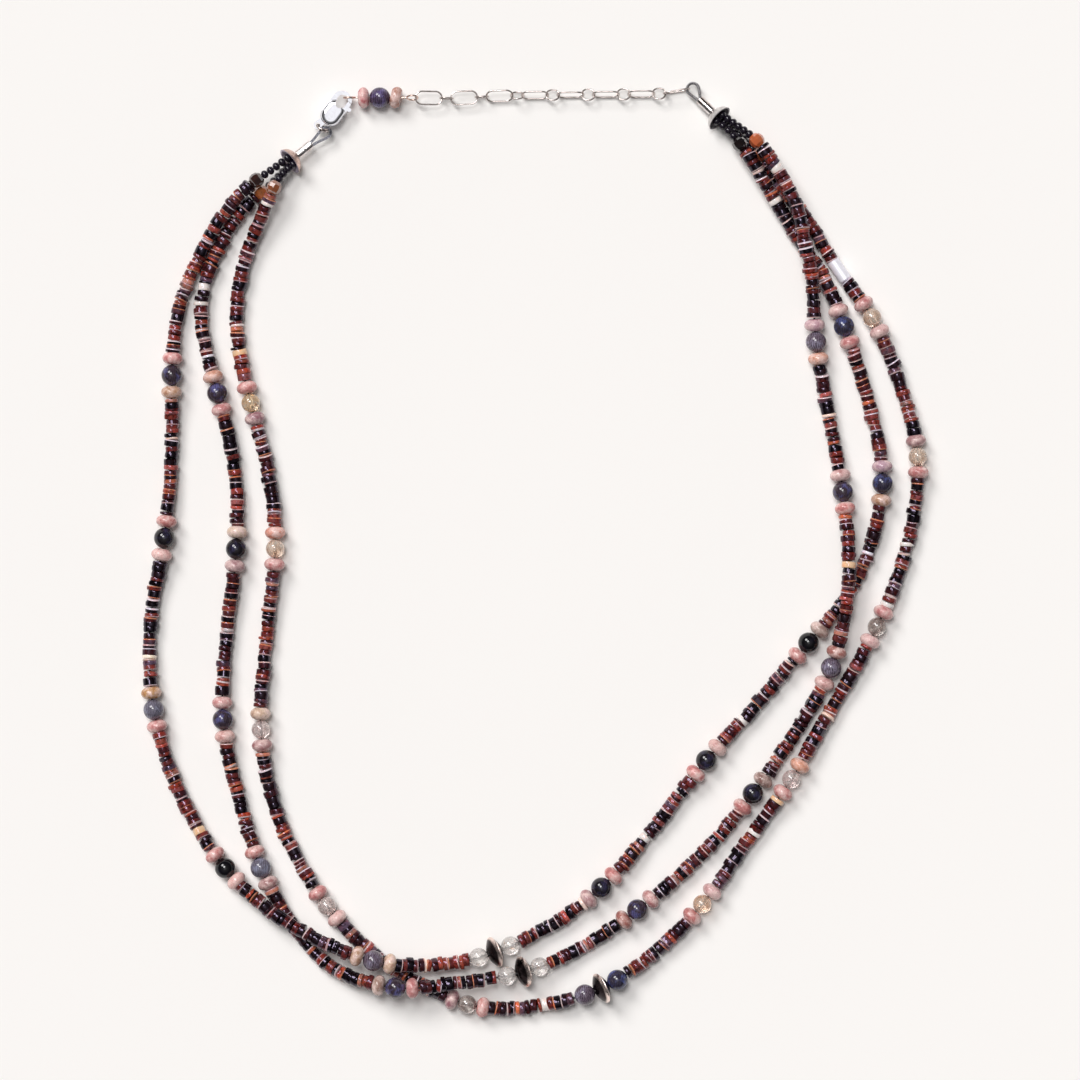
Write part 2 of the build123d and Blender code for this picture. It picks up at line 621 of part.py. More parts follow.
def necklace():
    nodes = {}
    for name in ROUTES:
        for node, solids in strand(name).items():
            nodes.setdefault(node, []).extend(solids)
    nodes.update(ends())
    nodes["clasp_body"] = [clasp_body()]
    nodes["clasp_lever"] = [clasp_lever()]
    nodes["clasp_ring"] = [clasp_ring()]
    nodes["bead_pin"] = [bead_pin()]
    nodes["pin_beads"] = pin_beads()
    nodes["extender_chain"] = extender_chain()
    return nodes


def main():
    lows = []
    highs = []
    for node, solids in necklace().items():
        placed = [Pos(*CENTRING) * solid for solid in solids]
        shape = placed[0] if len(placed) == 1 else Compound(placed)
        box = shape.bounding_box()
        lows.append((box.min.X, box.min.Y, box.min.Z))
        highs.append((box.max.X, box.max.Y, box.max.Z))
        export_step(shape, f"parts/{node}.step")
    low = [round(min(values), 3) for values in zip(*lows)]
    high = [round(max(values), 3) for values in zip(*highs)]
    pivot = CLASP_PLACE * Pos(LEVER_PIVOT[0], LEVER_PIVOT[1], 0)
    print("nodes", len(lows), "box", low, high)
    print("lever pivot", [round(value, 3) for value in (Pos(*CENTRING) * pivot).position])


main()
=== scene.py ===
"""Looks of the three-strand heishi bead necklace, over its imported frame. Metres, +Z up."""

import math
import random

import bpy
import numpy as np
from mathutils import Matrix, Vector


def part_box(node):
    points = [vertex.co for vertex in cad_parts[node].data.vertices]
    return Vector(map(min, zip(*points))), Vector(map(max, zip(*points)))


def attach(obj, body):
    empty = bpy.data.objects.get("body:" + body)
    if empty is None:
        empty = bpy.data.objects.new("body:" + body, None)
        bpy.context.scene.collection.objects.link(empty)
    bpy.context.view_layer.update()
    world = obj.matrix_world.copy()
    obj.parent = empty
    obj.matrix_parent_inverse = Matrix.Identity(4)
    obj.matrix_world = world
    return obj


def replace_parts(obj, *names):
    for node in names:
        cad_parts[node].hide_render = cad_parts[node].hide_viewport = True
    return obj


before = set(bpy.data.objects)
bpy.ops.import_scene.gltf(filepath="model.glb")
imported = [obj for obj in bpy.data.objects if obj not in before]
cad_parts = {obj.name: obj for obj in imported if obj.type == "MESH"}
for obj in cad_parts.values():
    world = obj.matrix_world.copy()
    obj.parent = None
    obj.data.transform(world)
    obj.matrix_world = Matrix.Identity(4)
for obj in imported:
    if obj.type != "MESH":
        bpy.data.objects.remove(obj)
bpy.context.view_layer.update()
scene = bpy.context.scene
chance = random.Random(11)

BODY = "necklace"

# Bead sizes, as in the part's source
HEISHI_RADIUS = 0.0017
BORE_RADIUS = 0.0005
BEAD_GAP = 0.00012
RONDELLE_RADIUS = 0.0026
RONDELLE_LENGTH = 0.0030
SAUCER_LENGTH = 0.0035
CRYSTAL_LENGTH = 0.0034
SILVER_TUBE_LENGTH = 0.0061
PIN_RONDELLE_RADIUS = 0.00265
PIN_RONDELLE_LENGTH = 0.0027

# Seed beads, which the part's source leaves out
SEED_RADIUS = 0.00108
SEED_LENGTH = 0.00155
SEED_PITCH = 0.00172

# Slope at which the saucers lean back on their threads
SAUCER_LEAN = 0.3

# Step from the route tables' frame to the part's frame
CENTRING = Vector((-0.000196, 0.000142, 0.000005))

# Route of each strand, left cone to right cone, as points of a smooth spline
ROUTES = {
    "outer": (
        (-0.0610, 0.0983, 0.00360), (-0.0644, 0.0955, 0.00420), (-0.0694, 0.0922, 0.00490),
        (-0.0750, 0.0874, 0.00430), (-0.0812, 0.0785, 0.00290), (-0.0857, 0.0694, 0.00190),
        (-0.0894, 0.0597, 0.00170), (-0.0908, 0.0435, 0.00320), (-0.0905, 0.0235, 0.00135),
        (-0.0922, 0.0027, 0.00320), (-0.0966, -0.0182, 0.00135), (-0.0958, -0.0403, 0.00320),
        (-0.0893, -0.0615, 0.00135), (-0.0778, -0.0803, 0.00320), (-0.0615, -0.0944, 0.00550),
        (-0.0402, -0.1033, 0.00760), (-0.0235, -0.1046, 0.00280), (-0.0097, -0.1010, 0.00470),
        (0.0048, -0.0943, 0.00120), (0.0171, -0.0850, 0.00345), (0.0299, -0.0703, 0.00135),
        (0.0429, -0.0527, 0.00320), (0.0556, -0.0393, 0.00135), (0.0686, -0.0234, 0.00320),
        (0.0821, -0.0081, 0.00135), (0.0882, 0.0164, 0.00320), (0.0844, 0.0361, 0.00135),
        (0.0776, 0.0557, 0.00320), (0.0731, 0.0677, 0.00200), (0.0675, 0.0756, 0.00180),
        (0.0632, 0.0822, 0.00230), (0.0592, 0.0890, 0.00380), (0.0554, 0.0955, 0.00490),
        (0.0514, 0.1012, 0.00490), (0.0486, 0.1048, 0.00420), (0.0449, 0.1075, 0.00360),
    ),
    "middle": (
        (-0.0603, 0.0975, 0.00200), (-0.0632, 0.0938, 0.00210), (-0.0682, 0.0892, 0.00195),
        (-0.0737, 0.0845, 0.00180), (-0.0788, 0.0759, 0.00180), (-0.0828, 0.0666, 0.00180),
        (-0.0838, 0.0559, 0.00165), (-0.0792, 0.0390, 0.00320), (-0.0743, 0.0198, 0.00135),
        (-0.0742, 0.0000, 0.00320), (-0.0771, -0.0212, 0.00135), (-0.0784, -0.0427, 0.00320),
        (-0.0746, -0.0608, 0.00135), (-0.0687, -0.0799, 0.00330), (-0.0610, -0.0939, 0.00150),
        (-0.0510, -0.1057, 0.00260), (-0.0347, -0.1101, 0.00770), (-0.0184, -0.1084, 0.00510),
        (-0.0025, -0.1061, 0.00430), (0.0128, -0.0998, 0.00120), (0.0259, -0.0903, 0.00330),
        (0.0413, -0.0778, 0.00135), (0.0549, -0.0613, 0.00320), (0.0661, -0.0452, 0.00130),
        (0.0749, -0.0299, 0.00310), (0.0794, -0.0083, 0.00670), (0.0775, 0.0143, 0.00300),
        (0.0738, 0.0335, 0.00130), (0.0703, 0.0518, 0.00320), (0.0697, 0.0665, 0.00490),
        (0.0676, 0.0760, 0.00570), (0.0661, 0.0851, 0.00550), (0.0616, 0.0939, 0.00550),
        (0.0558, 0.1022, 0.00520), (0.0512, 0.1055, 0.00420), (0.0464, 0.1090, 0.00360),
    ),
    "inner": (
        (-0.0596, 0.0967, 0.00360), (-0.0624, 0.0945, 0.00430), (-0.0650, 0.0903, 0.00540),
        (-0.0680, 0.0835, 0.00380), (-0.0713, 0.0755, 0.00210), (-0.0742, 0.0658, 0.00180),
        (-0.0748, 0.0535, 0.00170), (-0.0710, 0.0365, 0.00320), (-0.0659, 0.0187, 0.00135),
        (-0.0643, 0.0001, 0.00320), (-0.0671, -0.0215, 0.00135), (-0.0690, -0.0452, 0.00320),
        (-0.0649, -0.0677, 0.00135), (-0.0523, -0.0897, 0.00320), (-0.0379, -0.1042, 0.00130),
        (-0.0169, -0.1147, 0.00330), (-0.0006, -0.1152, 0.00130), (0.0171, -0.1103, 0.00490),
        (0.0307, -0.1013, 0.00120), (0.0423, -0.0890, 0.00330), (0.0533, -0.0733, 0.00135),
        (0.0646, -0.0577, 0.00320), (0.0748, -0.0396, 0.00135), (0.0861, -0.0196, 0.00320),
        (0.0941, 0.0007, 0.00135), (0.0969, 0.0232, 0.00320), (0.0916, 0.0424, 0.00135),
        (0.0849, 0.0581, 0.00330), (0.0763, 0.0696, 0.00170), (0.0692, 0.0813, 0.00180),
        (0.0636, 0.0890, 0.00180), (0.0562, 0.0984, 0.00190), (0.0511, 0.1045, 0.00210),
        (0.0456, 0.1083, 0.00200),
    ),
}

# Colours as the photo shows them, 0 to 255
PINK = (204, 134, 132)
PALE_PINK = (218, 172, 168)
PEACH = (218, 160, 136)
TAN = (188, 148, 118)
CREAM = (214, 188, 164)
GREY_PINK = (178, 140, 142)
JASPER = (188, 136, 74)
LILAC = (186, 150, 164)
MAUVE = (158, 110, 122)
BROWN_GREY = (138, 112, 102)
TAN_GREY = (168, 146, 134)
ORANGE_PINK = (212, 134, 112)
PINK_BROWN = (174, 116, 106)

# Rondelles of each strand in order from the left cone, two to a stone
RONDELLE_COLOURS = {
    "outer": (
        PINK, TAN, PINK, PALE_PINK, JASPER, PINK, PINK, PALE_PINK, TAN, CREAM,
        GREY_PINK, PINK, PINK, PALE_PINK, PINK, TAN_GREY, TAN, LILAC, PINK, PALE_PINK,
    ),
    "middle": (
        PEACH, PINK, CREAM, GREY_PINK, PINK, PALE_PINK, PINK, GREY_PINK, TAN_GREY, PINK,
        PINK_BROWN, PINK, PINK, BROWN_GREY, PALE_PINK, PINK_BROWN, PINK, PALE_PINK, PEACH, LILAC,
    ),
    "inner": (
        PINK, MAUVE, ORANGE_PINK, PINK, CREAM, GREY_PINK, PINK, PALE_PINK, MAUVE, PINK,
        PINK, PALE_PINK, PINK, PEACH, PALE_PINK, PINK, PINK, GREY_PINK, PALE_PINK, PINK,
    ),
}

# Round stones of each strand in order from the left cone
STONE_KINDS = {
    "outer": (
        "flash", "dark", "blue_grey", "black", "grey", "clear",
        "clear", "dark", "dark", "black", "blue", "blue",
    ),
    "middle": (
        "flash", "dark", "flash", "blue_grey", "flash", "clear",
        "clear", "flash", "dark", "grey", "flash", "grey",
    ),
    "inner": (
        "yellow", "champagne", "rosy", "rosy", "smoky", "grey",
        "blue", "champagne", "rosy", "smoky", "champagne", "champagne",
    ),
}

# End crystals of each strand, left then right
CRYSTAL_COLOURS = {
    "outer": ((44, 30, 30), (18, 16, 20)),
    "middle": ((158, 98, 62), (184, 100, 66)),
    "inner": ((124, 78, 54), (158, 88, 60)),
}

# Other beads
SAUCER_DARK = (56, 48, 50)
# Seam of the saucers: worn bright, and partly a painted highlight
SAUCER_SEAM_AND_HIGHLIGHT = (250, 232, 224)
SEED_BLACK = (20, 18, 22)
PIN_PINK = (204, 122, 126)
PIN_BROWN = (170, 116, 98)
PIN_BLUE = (50, 60, 90)

# Heishi: colour, share of the beads, thinnest and thickest in millimetres
HEISHI_MIX = (
    ((12, 7, 10), 0.18, 1.0, 2.0),
    ((30, 17, 21), 0.16, 1.0, 1.9),
    ((58, 27, 30), 0.15, 0.9, 1.8),
    ((88, 41, 40), 0.15, 0.9, 1.7),
    ((118, 57, 51), 0.13, 0.9, 1.6),
    ((150, 76, 60), 0.08, 0.7, 1.4),
    ((184, 108, 80), 0.03, 0.6, 1.2),
    ((156, 88, 84), 0.05, 0.8, 1.5),
    ((168, 122, 110), 0.02, 0.7, 1.4),
    ((92, 70, 84), 0.04, 0.9, 1.6),
    ((222, 208, 206), 0.02, 0.5, 0.9),
)

# Thin pale layers of the shell, seen on one edge of some discs, partly real layering and partly a
# painted rim highlight
LAYER_AND_RIM_SHEEN_COLOURS = ((216, 204, 212), (206, 186, 186), (202, 138, 108), (190, 162, 166))
LAYER_AND_RIM_SHEEN_SHARE = 0.5
LAYERED_FROM = 0.0008
LAYER_DEPTHS = (0.00016, 0.0003)

# How the discs differ from each other: least and most, or a usual amount
DISC_RADIUS_SHARES = (0.94, 1.14)
DISC_OFFSET = 0.00012
DISC_RISE_LIMIT = 0.0001
DISC_LEAN = 0.075
DISC_BEVELS = (0.00012, 0.00034)
DISC_BEVEL_SHARE = 0.3
DISC_FILL = 0.985
DISC_WOBBLE = 0.02
WORN_SIDES = (0, 0, 1, 2)
WORN_SHARES = (0.86, 0.96)
COLOUR_SPREAD = 0.16
PALE_SPREAD = 0.02
LAYER_SPREAD = 0.06
RONDELLE_SPREAD = 0.05

# Shortest disc, last disc, rest left open, and run of discs
THINNEST_DISC = 0.0004
SHORTEST_LAST = 0.0006
SHORTEST_REST = 0.0002
SHORTEST_RUN = 0.003

# Least height of a disc's middle, as a share of its radius
CLEARANCE_SHARE = 1.01

# Sides of the turned beads
HEISHI_SIDES = 20
SEED_SIDES = 20
RONDELLE_SIDES = 32
SAUCER_SIDES = 48
PIN_SIDES = 40
CRYSTAL_SIDES = 8

WHITE = (236, 230, 226)
WHITE_ORANGE = (232, 196, 160)

# Wide pale beads at their places in the photo: x, y, colour, length in millimetres
PALE_BEADS = {
    "outer": (
        (-0.0838, -0.0705, WHITE_ORANGE, 1.9), (0.0274, -0.0722, WHITE, 1.5),
        (0.0520, -0.0428, WHITE, 1.2), (0.0605, 0.0870, WHITE, 1.4),
    ),
    "middle": (
        (-0.0825, 0.0655, WHITE, 1.8), (-0.0833, 0.0618, WHITE, 1.0),
        (0.0785, -0.0038, WHITE_ORANGE, 1.6), (0.0605, 0.0950, WHITE, 1.9),
    ),
    "inner": (
        (-0.0670, 0.0865, WHITE, 1.0), (-0.0738, 0.0490, WHITE_ORANGE, 1.6),
        (0.0025, -0.1140, WHITE, 2.0), (0.0552, -0.0710, WHITE, 1.4),
        (0.0610, -0.0628, WHITE_ORANGE, 1.5), (0.0880, -0.0135, WHITE, 1.1),
        (0.0932, 0.0010, WHITE, 1.1),
    ),
}

# How far to either side of a station its heading is read
HEADING_STEP = 0.0006

# Half microns in a metre
HALF_MICRONS = 2e6

# How far off a strand's line its crystals can be
CRYSTAL_REACH = 0.0006

# Share of a colour's change that goes into its warmth
WARMTH_SHARE = 0.4


def linear(colour):
    """Scene colour of an sRGB colour of 0 to 255."""
    values = []
    for value in colour:
        share = value / 255
        values.append(share / 12.92 if share <= 0.04045 else ((share + 0.055) / 1.055) ** 2.4)
    return (*values, 1.0)


def shaded(colour, share, lift=0):
    """The colour times a share, plus a step."""
    return [value * share + lift for value in colour]


def varied(colour, spread):
    """The colour, a little lighter or darker and warmer or cooler."""
    light = 1 + chance.uniform(-spread, spread)
    warm = chance.uniform(-spread, spread) * WARMTH_SHARE
    tinted = (colour[0] * light * (1 + warm), colour[1] * light, colour[2] * light * (1 - warm))
    return tuple(min(255.0, max(0.0, value)) for value in tinted)


# Strand lines and stations


class Strand:
    """Smooth line of a strand, read by the distance along it."""

    def __init__(self, name, route):
        curve = bpy.data.curves.new(name, "CURVE")
        curve.dimensions = "3D"
        curve.resolution_u = 40
        spline = curve.splines.new("NURBS")
        spline.points.add(len(route) - 1)
        for point, place in zip(spline.points, route):
            point.co = (*(Vector(place) + CENTRING), 1)
        spline.order_u = 3
        spline.use_endpoint_u = True
        holder = bpy.data.objects.new(name, curve)
        scene.collection.objects.link(holder)
        bpy.context.view_layer.update()
        mesh = bpy.data.meshes.new_from_object(holder)
        self.points = np.array([vertex.co[:] for vertex in mesh.vertices])
        bpy.data.objects.remove(holder)
        bpy.data.meshes.remove(mesh)
        steps = np.linalg.norm(np.diff(self.points, axis=0), axis=1)
        self.stations = np.concatenate(([0.0], np.cumsum(steps)))
        self.length = float(self.stations[-1])

    def at(self, station):
        """Point at a station."""
        return np.array([np.interp(station, self.stations, self.points[:, i]) for i in range(3)])

    def heading(self, station):
        """Unit vector along the strand at a station."""
        step = self.at(station + HEADING_STEP) - self.at(station - HEADING_STEP)
        return step / np.linalg.norm(step)

    def nearest(self, place):
        """Station nearest to a place, and how far off it is; a place may leave out its height."""
        place = np.array(place)
        gaps = np.linalg.norm(self.points[:, : len(place)] - place, axis=1)
        number = int(gaps.argmin())
        return float(self.stations[number]), float(gaps[number])


def solid_middles(node):
    """Middle of each separate solid in a CAD node; points in the same half micron are one."""
    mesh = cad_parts[node].data
    places = np.array([vertex.co[:] for vertex in mesh.vertices])
    first = {}
    same = []
    for number, place in enumerate(places):
        same.append(first.setdefault(tuple(np.rint(place * HALF_MICRONS)), number))
    link = list(range(len(places)))

    def root(number):
        """Point that stands for the solid that a point is in."""
        while link[number] != number:
            link[number] = link[link[number]]
            number = link[number]
        return number

    for edge in mesh.edges:
        a, b = (root(same[number]) for number in edge.vertices)
        link[a] = b
    members = {}
    for number, place in enumerate(places):
        members.setdefault(root(same[number]), []).append(place)
    return [(np.min(group, axis=0) + np.max(group, axis=0)) / 2 for group in members.values()]


def node_middle(node):
    """Middle of a CAD node's box."""
    low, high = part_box(node)
    return np.array((low + high) / 2)


# Meshes of many turned beads

# Side vectors shorter than this belong to an axis that stands upright
UPRIGHT = 1e-3

# Profile points farther out than this take part in the wobble
OUTSIDE_RADIUS = BORE_RADIUS * 1.2

# The wobble is an oval with this share of a rounded triangle, turned on by this factor
TRIANGLE_SHARE = 0.6
TRIANGLE_TURN = 2.3

# Cosine of the angle up to which a worn side reaches
WORN_REACH = 0.3


class BeadMesh:
    """Beads turned about their own axes, gathered into one mesh with a colour for each."""

    def __init__(self):
        self.places = []
        self.faces = []
        self.colours = []
        self.marks = []
        self.count = 0

    def add(self, profile, sides, middle, axis, colours, wobble=0.0, turn=0.0, flats=()):
        """Adds a bead round an axis.

        profile is a closed ring of (radius, height). colours is one colour, or one for each point
        of the profile. flats are (direction, share of the radius) at which the side is worn flat.
        """
        axis = np.array(axis) / np.linalg.norm(axis)
        side = np.cross(axis, (0.0, 0.0, 1.0))
        if np.linalg.norm(side) < UPRIGHT:
            side = np.array((1.0, 0.0, 0.0))
        side = side / np.linalg.norm(side)
        up = np.cross(side, axis)
        angles = np.arange(sides) * (2 * math.pi / sides) + turn
        lean = chance.uniform(0, 2 * math.pi)
        triangle = np.sin(3 * angles + TRIANGLE_TURN * lean)
        swell = 1 + wobble * (np.sin(2 * angles + lean) + TRIANGLE_SHARE * triangle)
        for direction, share in flats:
            facing = np.cos(angles - direction)
            worn = np.minimum(swell, share / np.maximum(facing, WORN_REACH))
            swell = np.where(facing > WORN_REACH, worn, swell)
        outline = np.array(profile)
        outside = outline[:, :1] > OUTSIDE_RADIUS
        radii = outline[:, :1] * np.where(outside, swell[None, :], 1.0)
        flat = radii[..., None] * (
            np.cos(angles)[None, :, None] * side + np.sin(angles)[None, :, None] * up
        )
        places = flat + outline[:, 1][:, None, None] * axis + np.array(middle)
        rings = len(profile)
        ring = np.arange(rings)[:, None]
        step = np.arange(sides)[None, :]
        after = (ring + 1) % rings
        beyond = (step + 1) % sides
        corners = np.broadcast_arrays(
            ring * sides + step,
            ring * sides + beyond,
            after * sides + beyond,
            after * sides + step,
        )
        quads = np.stack(corners, axis=-1).reshape(-1, 4)
        self.places.append(places.reshape(-1, 3))
        self.faces.append(quads + self.count)
        if not isinstance(colours[0], tuple):
            colours = [colours] * rings
        tints = np.array([linear(colour) for colour in colours])
        self.colours.append(np.broadcast_to(tints[:, None, :], (rings, sides, 4)).reshape(-1, 4))
        self.marks.append(np.full(rings * sides, chance.random()))
        self.count += rings * sides

    def piece(self, name, material, sharp=34.0):
        """The beads as one piece; edges that turn by more than sharp degrees are hard."""
        mesh = bpy.data.meshes.new(name)
        mesh.from_pydata(np.concatenate(self.places), [], np.concatenate(self.faces))
        tints = np.concatenate(self.colours).astype(np.float32)
        colours = mesh.attributes.new("bead_colour", "FLOAT_COLOR", "POINT")
        colours.data.foreach_set("color", tints.ravel())
        marks = mesh.attributes.new("bead_mark", "FLOAT", "POINT")
        marks.data.foreach_set("value", np.concatenate(self.marks).astype(np.float32))
        mesh.polygons.foreach_set("use_smooth", np.full(len(mesh.polygons), True))
        mesh.set_sharp_from_angle(angle=math.radians(sharp))
        mesh.materials.append(material)
        thing = bpy.data.objects.new(name, mesh)
        scene.collection.objects.link(thing)
        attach(thing, BODY)
        return thing


# Shares of its bevel by which a disc's worn edge and side are rounded
CROWN_SHARE = 0.12
EDGE_IN_SHARE = 0.38
EDGE_ALONG_SHARE = 0.3

# Least depth of a layer, in bevels, and half the width of its colour's edge
LAYER_PAST_BEVEL = 1.2
LAYER_BLEND = 0.00002

# Width of the flat ring round the hole of a round-sided bead
HOLE_RING = 0.0002


def disc_profile(radius, length, bevel):
    """Flat-faced disc with worn edges and a slightly crowned side."""
    half = length / 2
    crown = radius - bevel * CROWN_SHARE
    edge = radius - bevel * EDGE_IN_SHARE
    along = bevel * EDGE_ALONG_SHARE
    return [
        (BORE_RADIUS, -half), (radius - bevel, -half), (edge, -half + along),
        (crown, -half + bevel), (radius, 0.0), (crown, half - bevel),
        (edge, half - along), (radius - bevel, half), (BORE_RADIUS, half),
    ]


def layered_disc(radius, length, bevel, colour, layer, depth):
    """Profile and colours of a disc with a layer of another colour on its far side."""
    profile = disc_profile(radius, length, bevel)
    split = length / 2 - max(depth, bevel * LAYER_PAST_BEVEL)
    crown = profile[5]
    profile[4:6] = [(radius, split - LAYER_BLEND), (radius, split + LAYER_BLEND), crown]
    return profile, [colour] * 5 + [layer] * 5


def barrel_profile(radius, face_radius, length, steps):
    """Round-sided bead between two flat faces."""
    half = length / 2
    lean = math.acos(face_radius / radius)
    side = []
    for number in range(steps + 1):
        angle = -lean + 2 * lean * number / steps
        side.append((radius * math.cos(angle), half * math.sin(angle) / math.sin(lean)))
    start = [(BORE_RADIUS, -half), (BORE_RADIUS + HOLE_RING, -half)]
    end = [(BORE_RADIUS + HOLE_RING, half), (BORE_RADIUS, half)]
    return start + side + end


def mirrored_profile(half, waist):
    """Profile of (radius, height) rows above the middle, given from the hole out, and a waist."""
    low = [(radius, -height) for radius, height in half]
    return low + [(waist, 0.0)] + list(reversed(half))


# Materials

# Colour of the paler clouds on the shell, a painted light
SHELL_PAINTED_LIGHT = (226, 150, 130)
SHELL_SHADE = (16, 9, 11)
SHELL_FLECK = (20, 12, 14)
SHELL_SHEEN = (236, 218, 255)
PINK_CLOUD = (240, 210, 204)
PINK_DEPTH = (150, 84, 86)
PINK_VEIN = (132, 96, 92)
PINK_FRECKLE = (104, 74, 70)
STONE_CRACK = (14, 13, 18)
STONE_SPECK = (12, 12, 16)
QUARTZ_MILK = (250, 247, 240)
# Paler clouds on the crystals, painted facet reflections
CRYSTAL_PAINTED_GLINT = (236, 190, 160)
SAUCER_GLOW = (120, 104, 98)
THREAD_DARK = (34, 30, 32)
THREAD_PALE = (66, 60, 62)
GLASS_DARK = (12, 10, 16)
GLASS_PALE = (36, 28, 42)


class Shader:
    """A node material with short ways to add and join its nodes."""

    def __init__(self, name):
        self.material = bpy.data.materials.new(name)
        self.material.use_nodes = True
        self.tree = self.material.node_tree
        self.surface = self.tree.nodes["Principled BSDF"]

    def node(self, kind, inputs=None, **settings):
        """A new node, its inputs joined or set."""
        made = self.tree.nodes.new(kind)
        for key, value in settings.items():
            setattr(made, key, value)
        for key, value in (inputs or {}).items():
            self.join(value, made.inputs[key])
        return made

    def join(self, value, socket):
        """Links a socket to another one, or sets it to a value."""
        if isinstance(value, bpy.types.NodeSocket):
            self.tree.links.new(value, socket)
        else:
            socket.default_value = value

    def set(self, **inputs):
        """Joins or sets inputs of the surface, named with underscores for spaces."""
        for key, value in inputs.items():
            self.join(value, self.surface.inputs[key.replace("_", " ")])

    def place(self):
        """Place on the object, in its own frame."""
        return self.node("ShaderNodeTexCoord").outputs["Object"]

    def noise(self, scale, detail=3.0, rough=0.55):
        """Cloudy pattern, about 0.3 to 0.7, with scale clouds to the metre."""
        inputs = {"Scale": scale, "Detail": detail, "Roughness": rough, "Vector": self.place()}
        return self.node("ShaderNodeTexNoise", inputs).outputs["Fac"]

    def maths(self, operation, *values):
        """Result of one sum, its values sockets or numbers."""
        inputs = dict(enumerate(values))
        return self.node("ShaderNodeMath", inputs, operation=operation).outputs[0]

    def wave(self, scale, distortion, detail=2.0, **settings):
        """Wavy bands, 0 to 1."""
        inputs = {"Scale": scale, "Distortion": distortion, "Detail": detail}
        inputs["Vector"] = self.place()
        return self.node("ShaderNodeTexWave", inputs, **settings).outputs["Fac"]

    def level(self, value, low, high, start=0.3, end=0.7):
        """Goes from low to high while the value goes from start to end."""
        inputs = {"Value": value, "From Min": start, "From Max": end, "To Min": low, "To Max": high}
        return self.node("ShaderNodeMapRange", inputs).outputs["Result"]

    def mix(self, factor, first, second, how="MIX"):
        """Two colours mixed by a factor from 0 to 1."""
        made = self.node("ShaderNodeMix", data_type="RGBA", blend_type=how)
        self.join(factor, made.inputs["Factor"])
        self.join(first, made.inputs[6])
        self.join(second, made.inputs[7])
        return made.outputs[2]

    def attribute(self, name, output="Color"):
        """A value kept on the mesh."""
        return self.node("ShaderNodeAttribute", attribute_name=name).outputs[output]

    def bump(self, height, strength, distance):
        """Fine relief of the surface."""
        inputs = {"Height": height, "Strength": strength, "Distance": distance}
        self.set(Normal=self.node("ShaderNodeBump", inputs).outputs["Normal"])


def shell_material():
    """Polished shell: the bead's colour, streaked, clouded with painted light, and with an uneven
    gloss.
    """
    made = Shader("polished_shell")
    bead = made.attribute("bead_colour")
    mark = made.attribute("bead_mark", "Fac")
    cloud = made.noise(900.0, 4.0)
    wave = made.noise(760.0, 1.0)
    blotch = made.noise(1300.0, 2.0)
    grain = made.noise(3000.0, 3.0, 0.65)
    paleness = made.node("ShaderNodeRGBToBW", {"Color": bead}).outputs["Val"]
    room = made.level(paleness, 1.0, 0.12, start=0.05, end=0.45)
    shade = made.maths("MULTIPLY", made.level(blotch, 0.7, 0.0, start=0.36, end=0.5), room)
    fleck = made.maths("MULTIPLY", made.level(grain, 0.0, 0.55, start=0.5, end=0.72), room)
    # Paler clouds over the discs are painted light
    painted_light_clouds = made.level(cloud, 0.0, 0.95, start=0.44, end=0.66)
    lit = made.mix(painted_light_clouds, bead, linear(SHELL_PAINTED_LIGHT), "SOFT_LIGHT")
    dark = made.mix(shade, lit, linear(SHELL_SHADE), "MULTIPLY")
    streaked = made.mix(fleck, dark, linear(SHELL_FLECK), "MULTIPLY")
    gloss = made.maths("MULTIPLY", cloud, mark)
    made.set(
        Base_Color=streaked,
        Roughness=made.level(gloss, 0.03, 0.11, start=0.1, end=0.5),
        Specular_IOR_Level=0.5,
        Specular_Tint=linear(SHELL_SHEEN),
    )
    made.bump(wave, strength=0.5, distance=0.00022)
    return made.material


def pink_stone_material():
    """Polished pink stone with paler clouds, grey-brown veins and freckles."""
    made = Shader("pink_stone")
    bead = made.attribute("bead_colour")
    cloud = made.noise(520.0, 4.0, 0.6)
    vein = made.noise(820.0, 5.0, 0.75)
    freckle = made.noise(2100.0, 3.0, 0.7)
    paleness = made.level(cloud, 0.0, 0.85, start=0.42, end=0.64)
    pale = made.mix(paleness, bead, linear(PINK_CLOUD))
    depth = made.level(cloud, 0.6, 0.0, start=0.3, end=0.46)
    dark = made.mix(depth, pale, linear(PINK_DEPTH))
    band = made.maths("SUBTRACT", vein, 0.5)
    edge = made.maths("ABSOLUTE", band)
    line = made.level(edge, 0.5, 0.0, start=0.0, end=0.025)
    veined = made.mix(line, dark, linear(PINK_VEIN))
    spot = made.level(freckle, 0.0, 0.75, start=0.6, end=0.72)
    spotted = made.mix(spot, veined, linear(PINK_FRECKLE))
    made.set(
        Base_Color=spotted,
        Roughness=made.level(freckle, 0.1, 0.24),
        Specular_IOR_Level=0.45,
    )
    made.bump(cloud, strength=0.12, distance=0.0001)
    return made.material


def flashing_stone_material(name, body, flash, strength, cracks):
    """Dark polished feldspar: paler flashing patches of painted sheen, dark cracks and specks."""
    made = Shader(name)
    patch = made.noise(430.0, 4.0, 0.6)
    grain = made.noise(1500.0, 4.0, 0.7)
    layer = made.wave(620.0, distortion=9.0, detail=4.0)
    mottled = made.mix(made.level(grain, 0.0, 0.6), linear(body), linear(shaded(body, 1.55, 8)))
    # Flash patches: a painted sheen
    flash_sheen_mask = made.level(patch, 0.0, strength, start=0.48, end=0.64)
    with_flash_sheen = made.mix(flash_sheen_mask, mottled, linear(flash))
    crack = made.level(layer, 0.0, cracks, start=0.72, end=1.0)
    lined = made.mix(crack, with_flash_sheen, linear(STONE_CRACK))
    speck = made.level(grain, 0.7, 0.0, start=0.3, end=0.4)
    specked = made.mix(speck, lined, linear(STONE_SPECK))
    made.set(
        Base_Color=specked,
        Roughness=made.level(grain, 0.04, 0.12),
        Specular_IOR_Level=0.5,
    )
    made.bump(layer, strength=0.05, distance=0.00002)
    return made.material


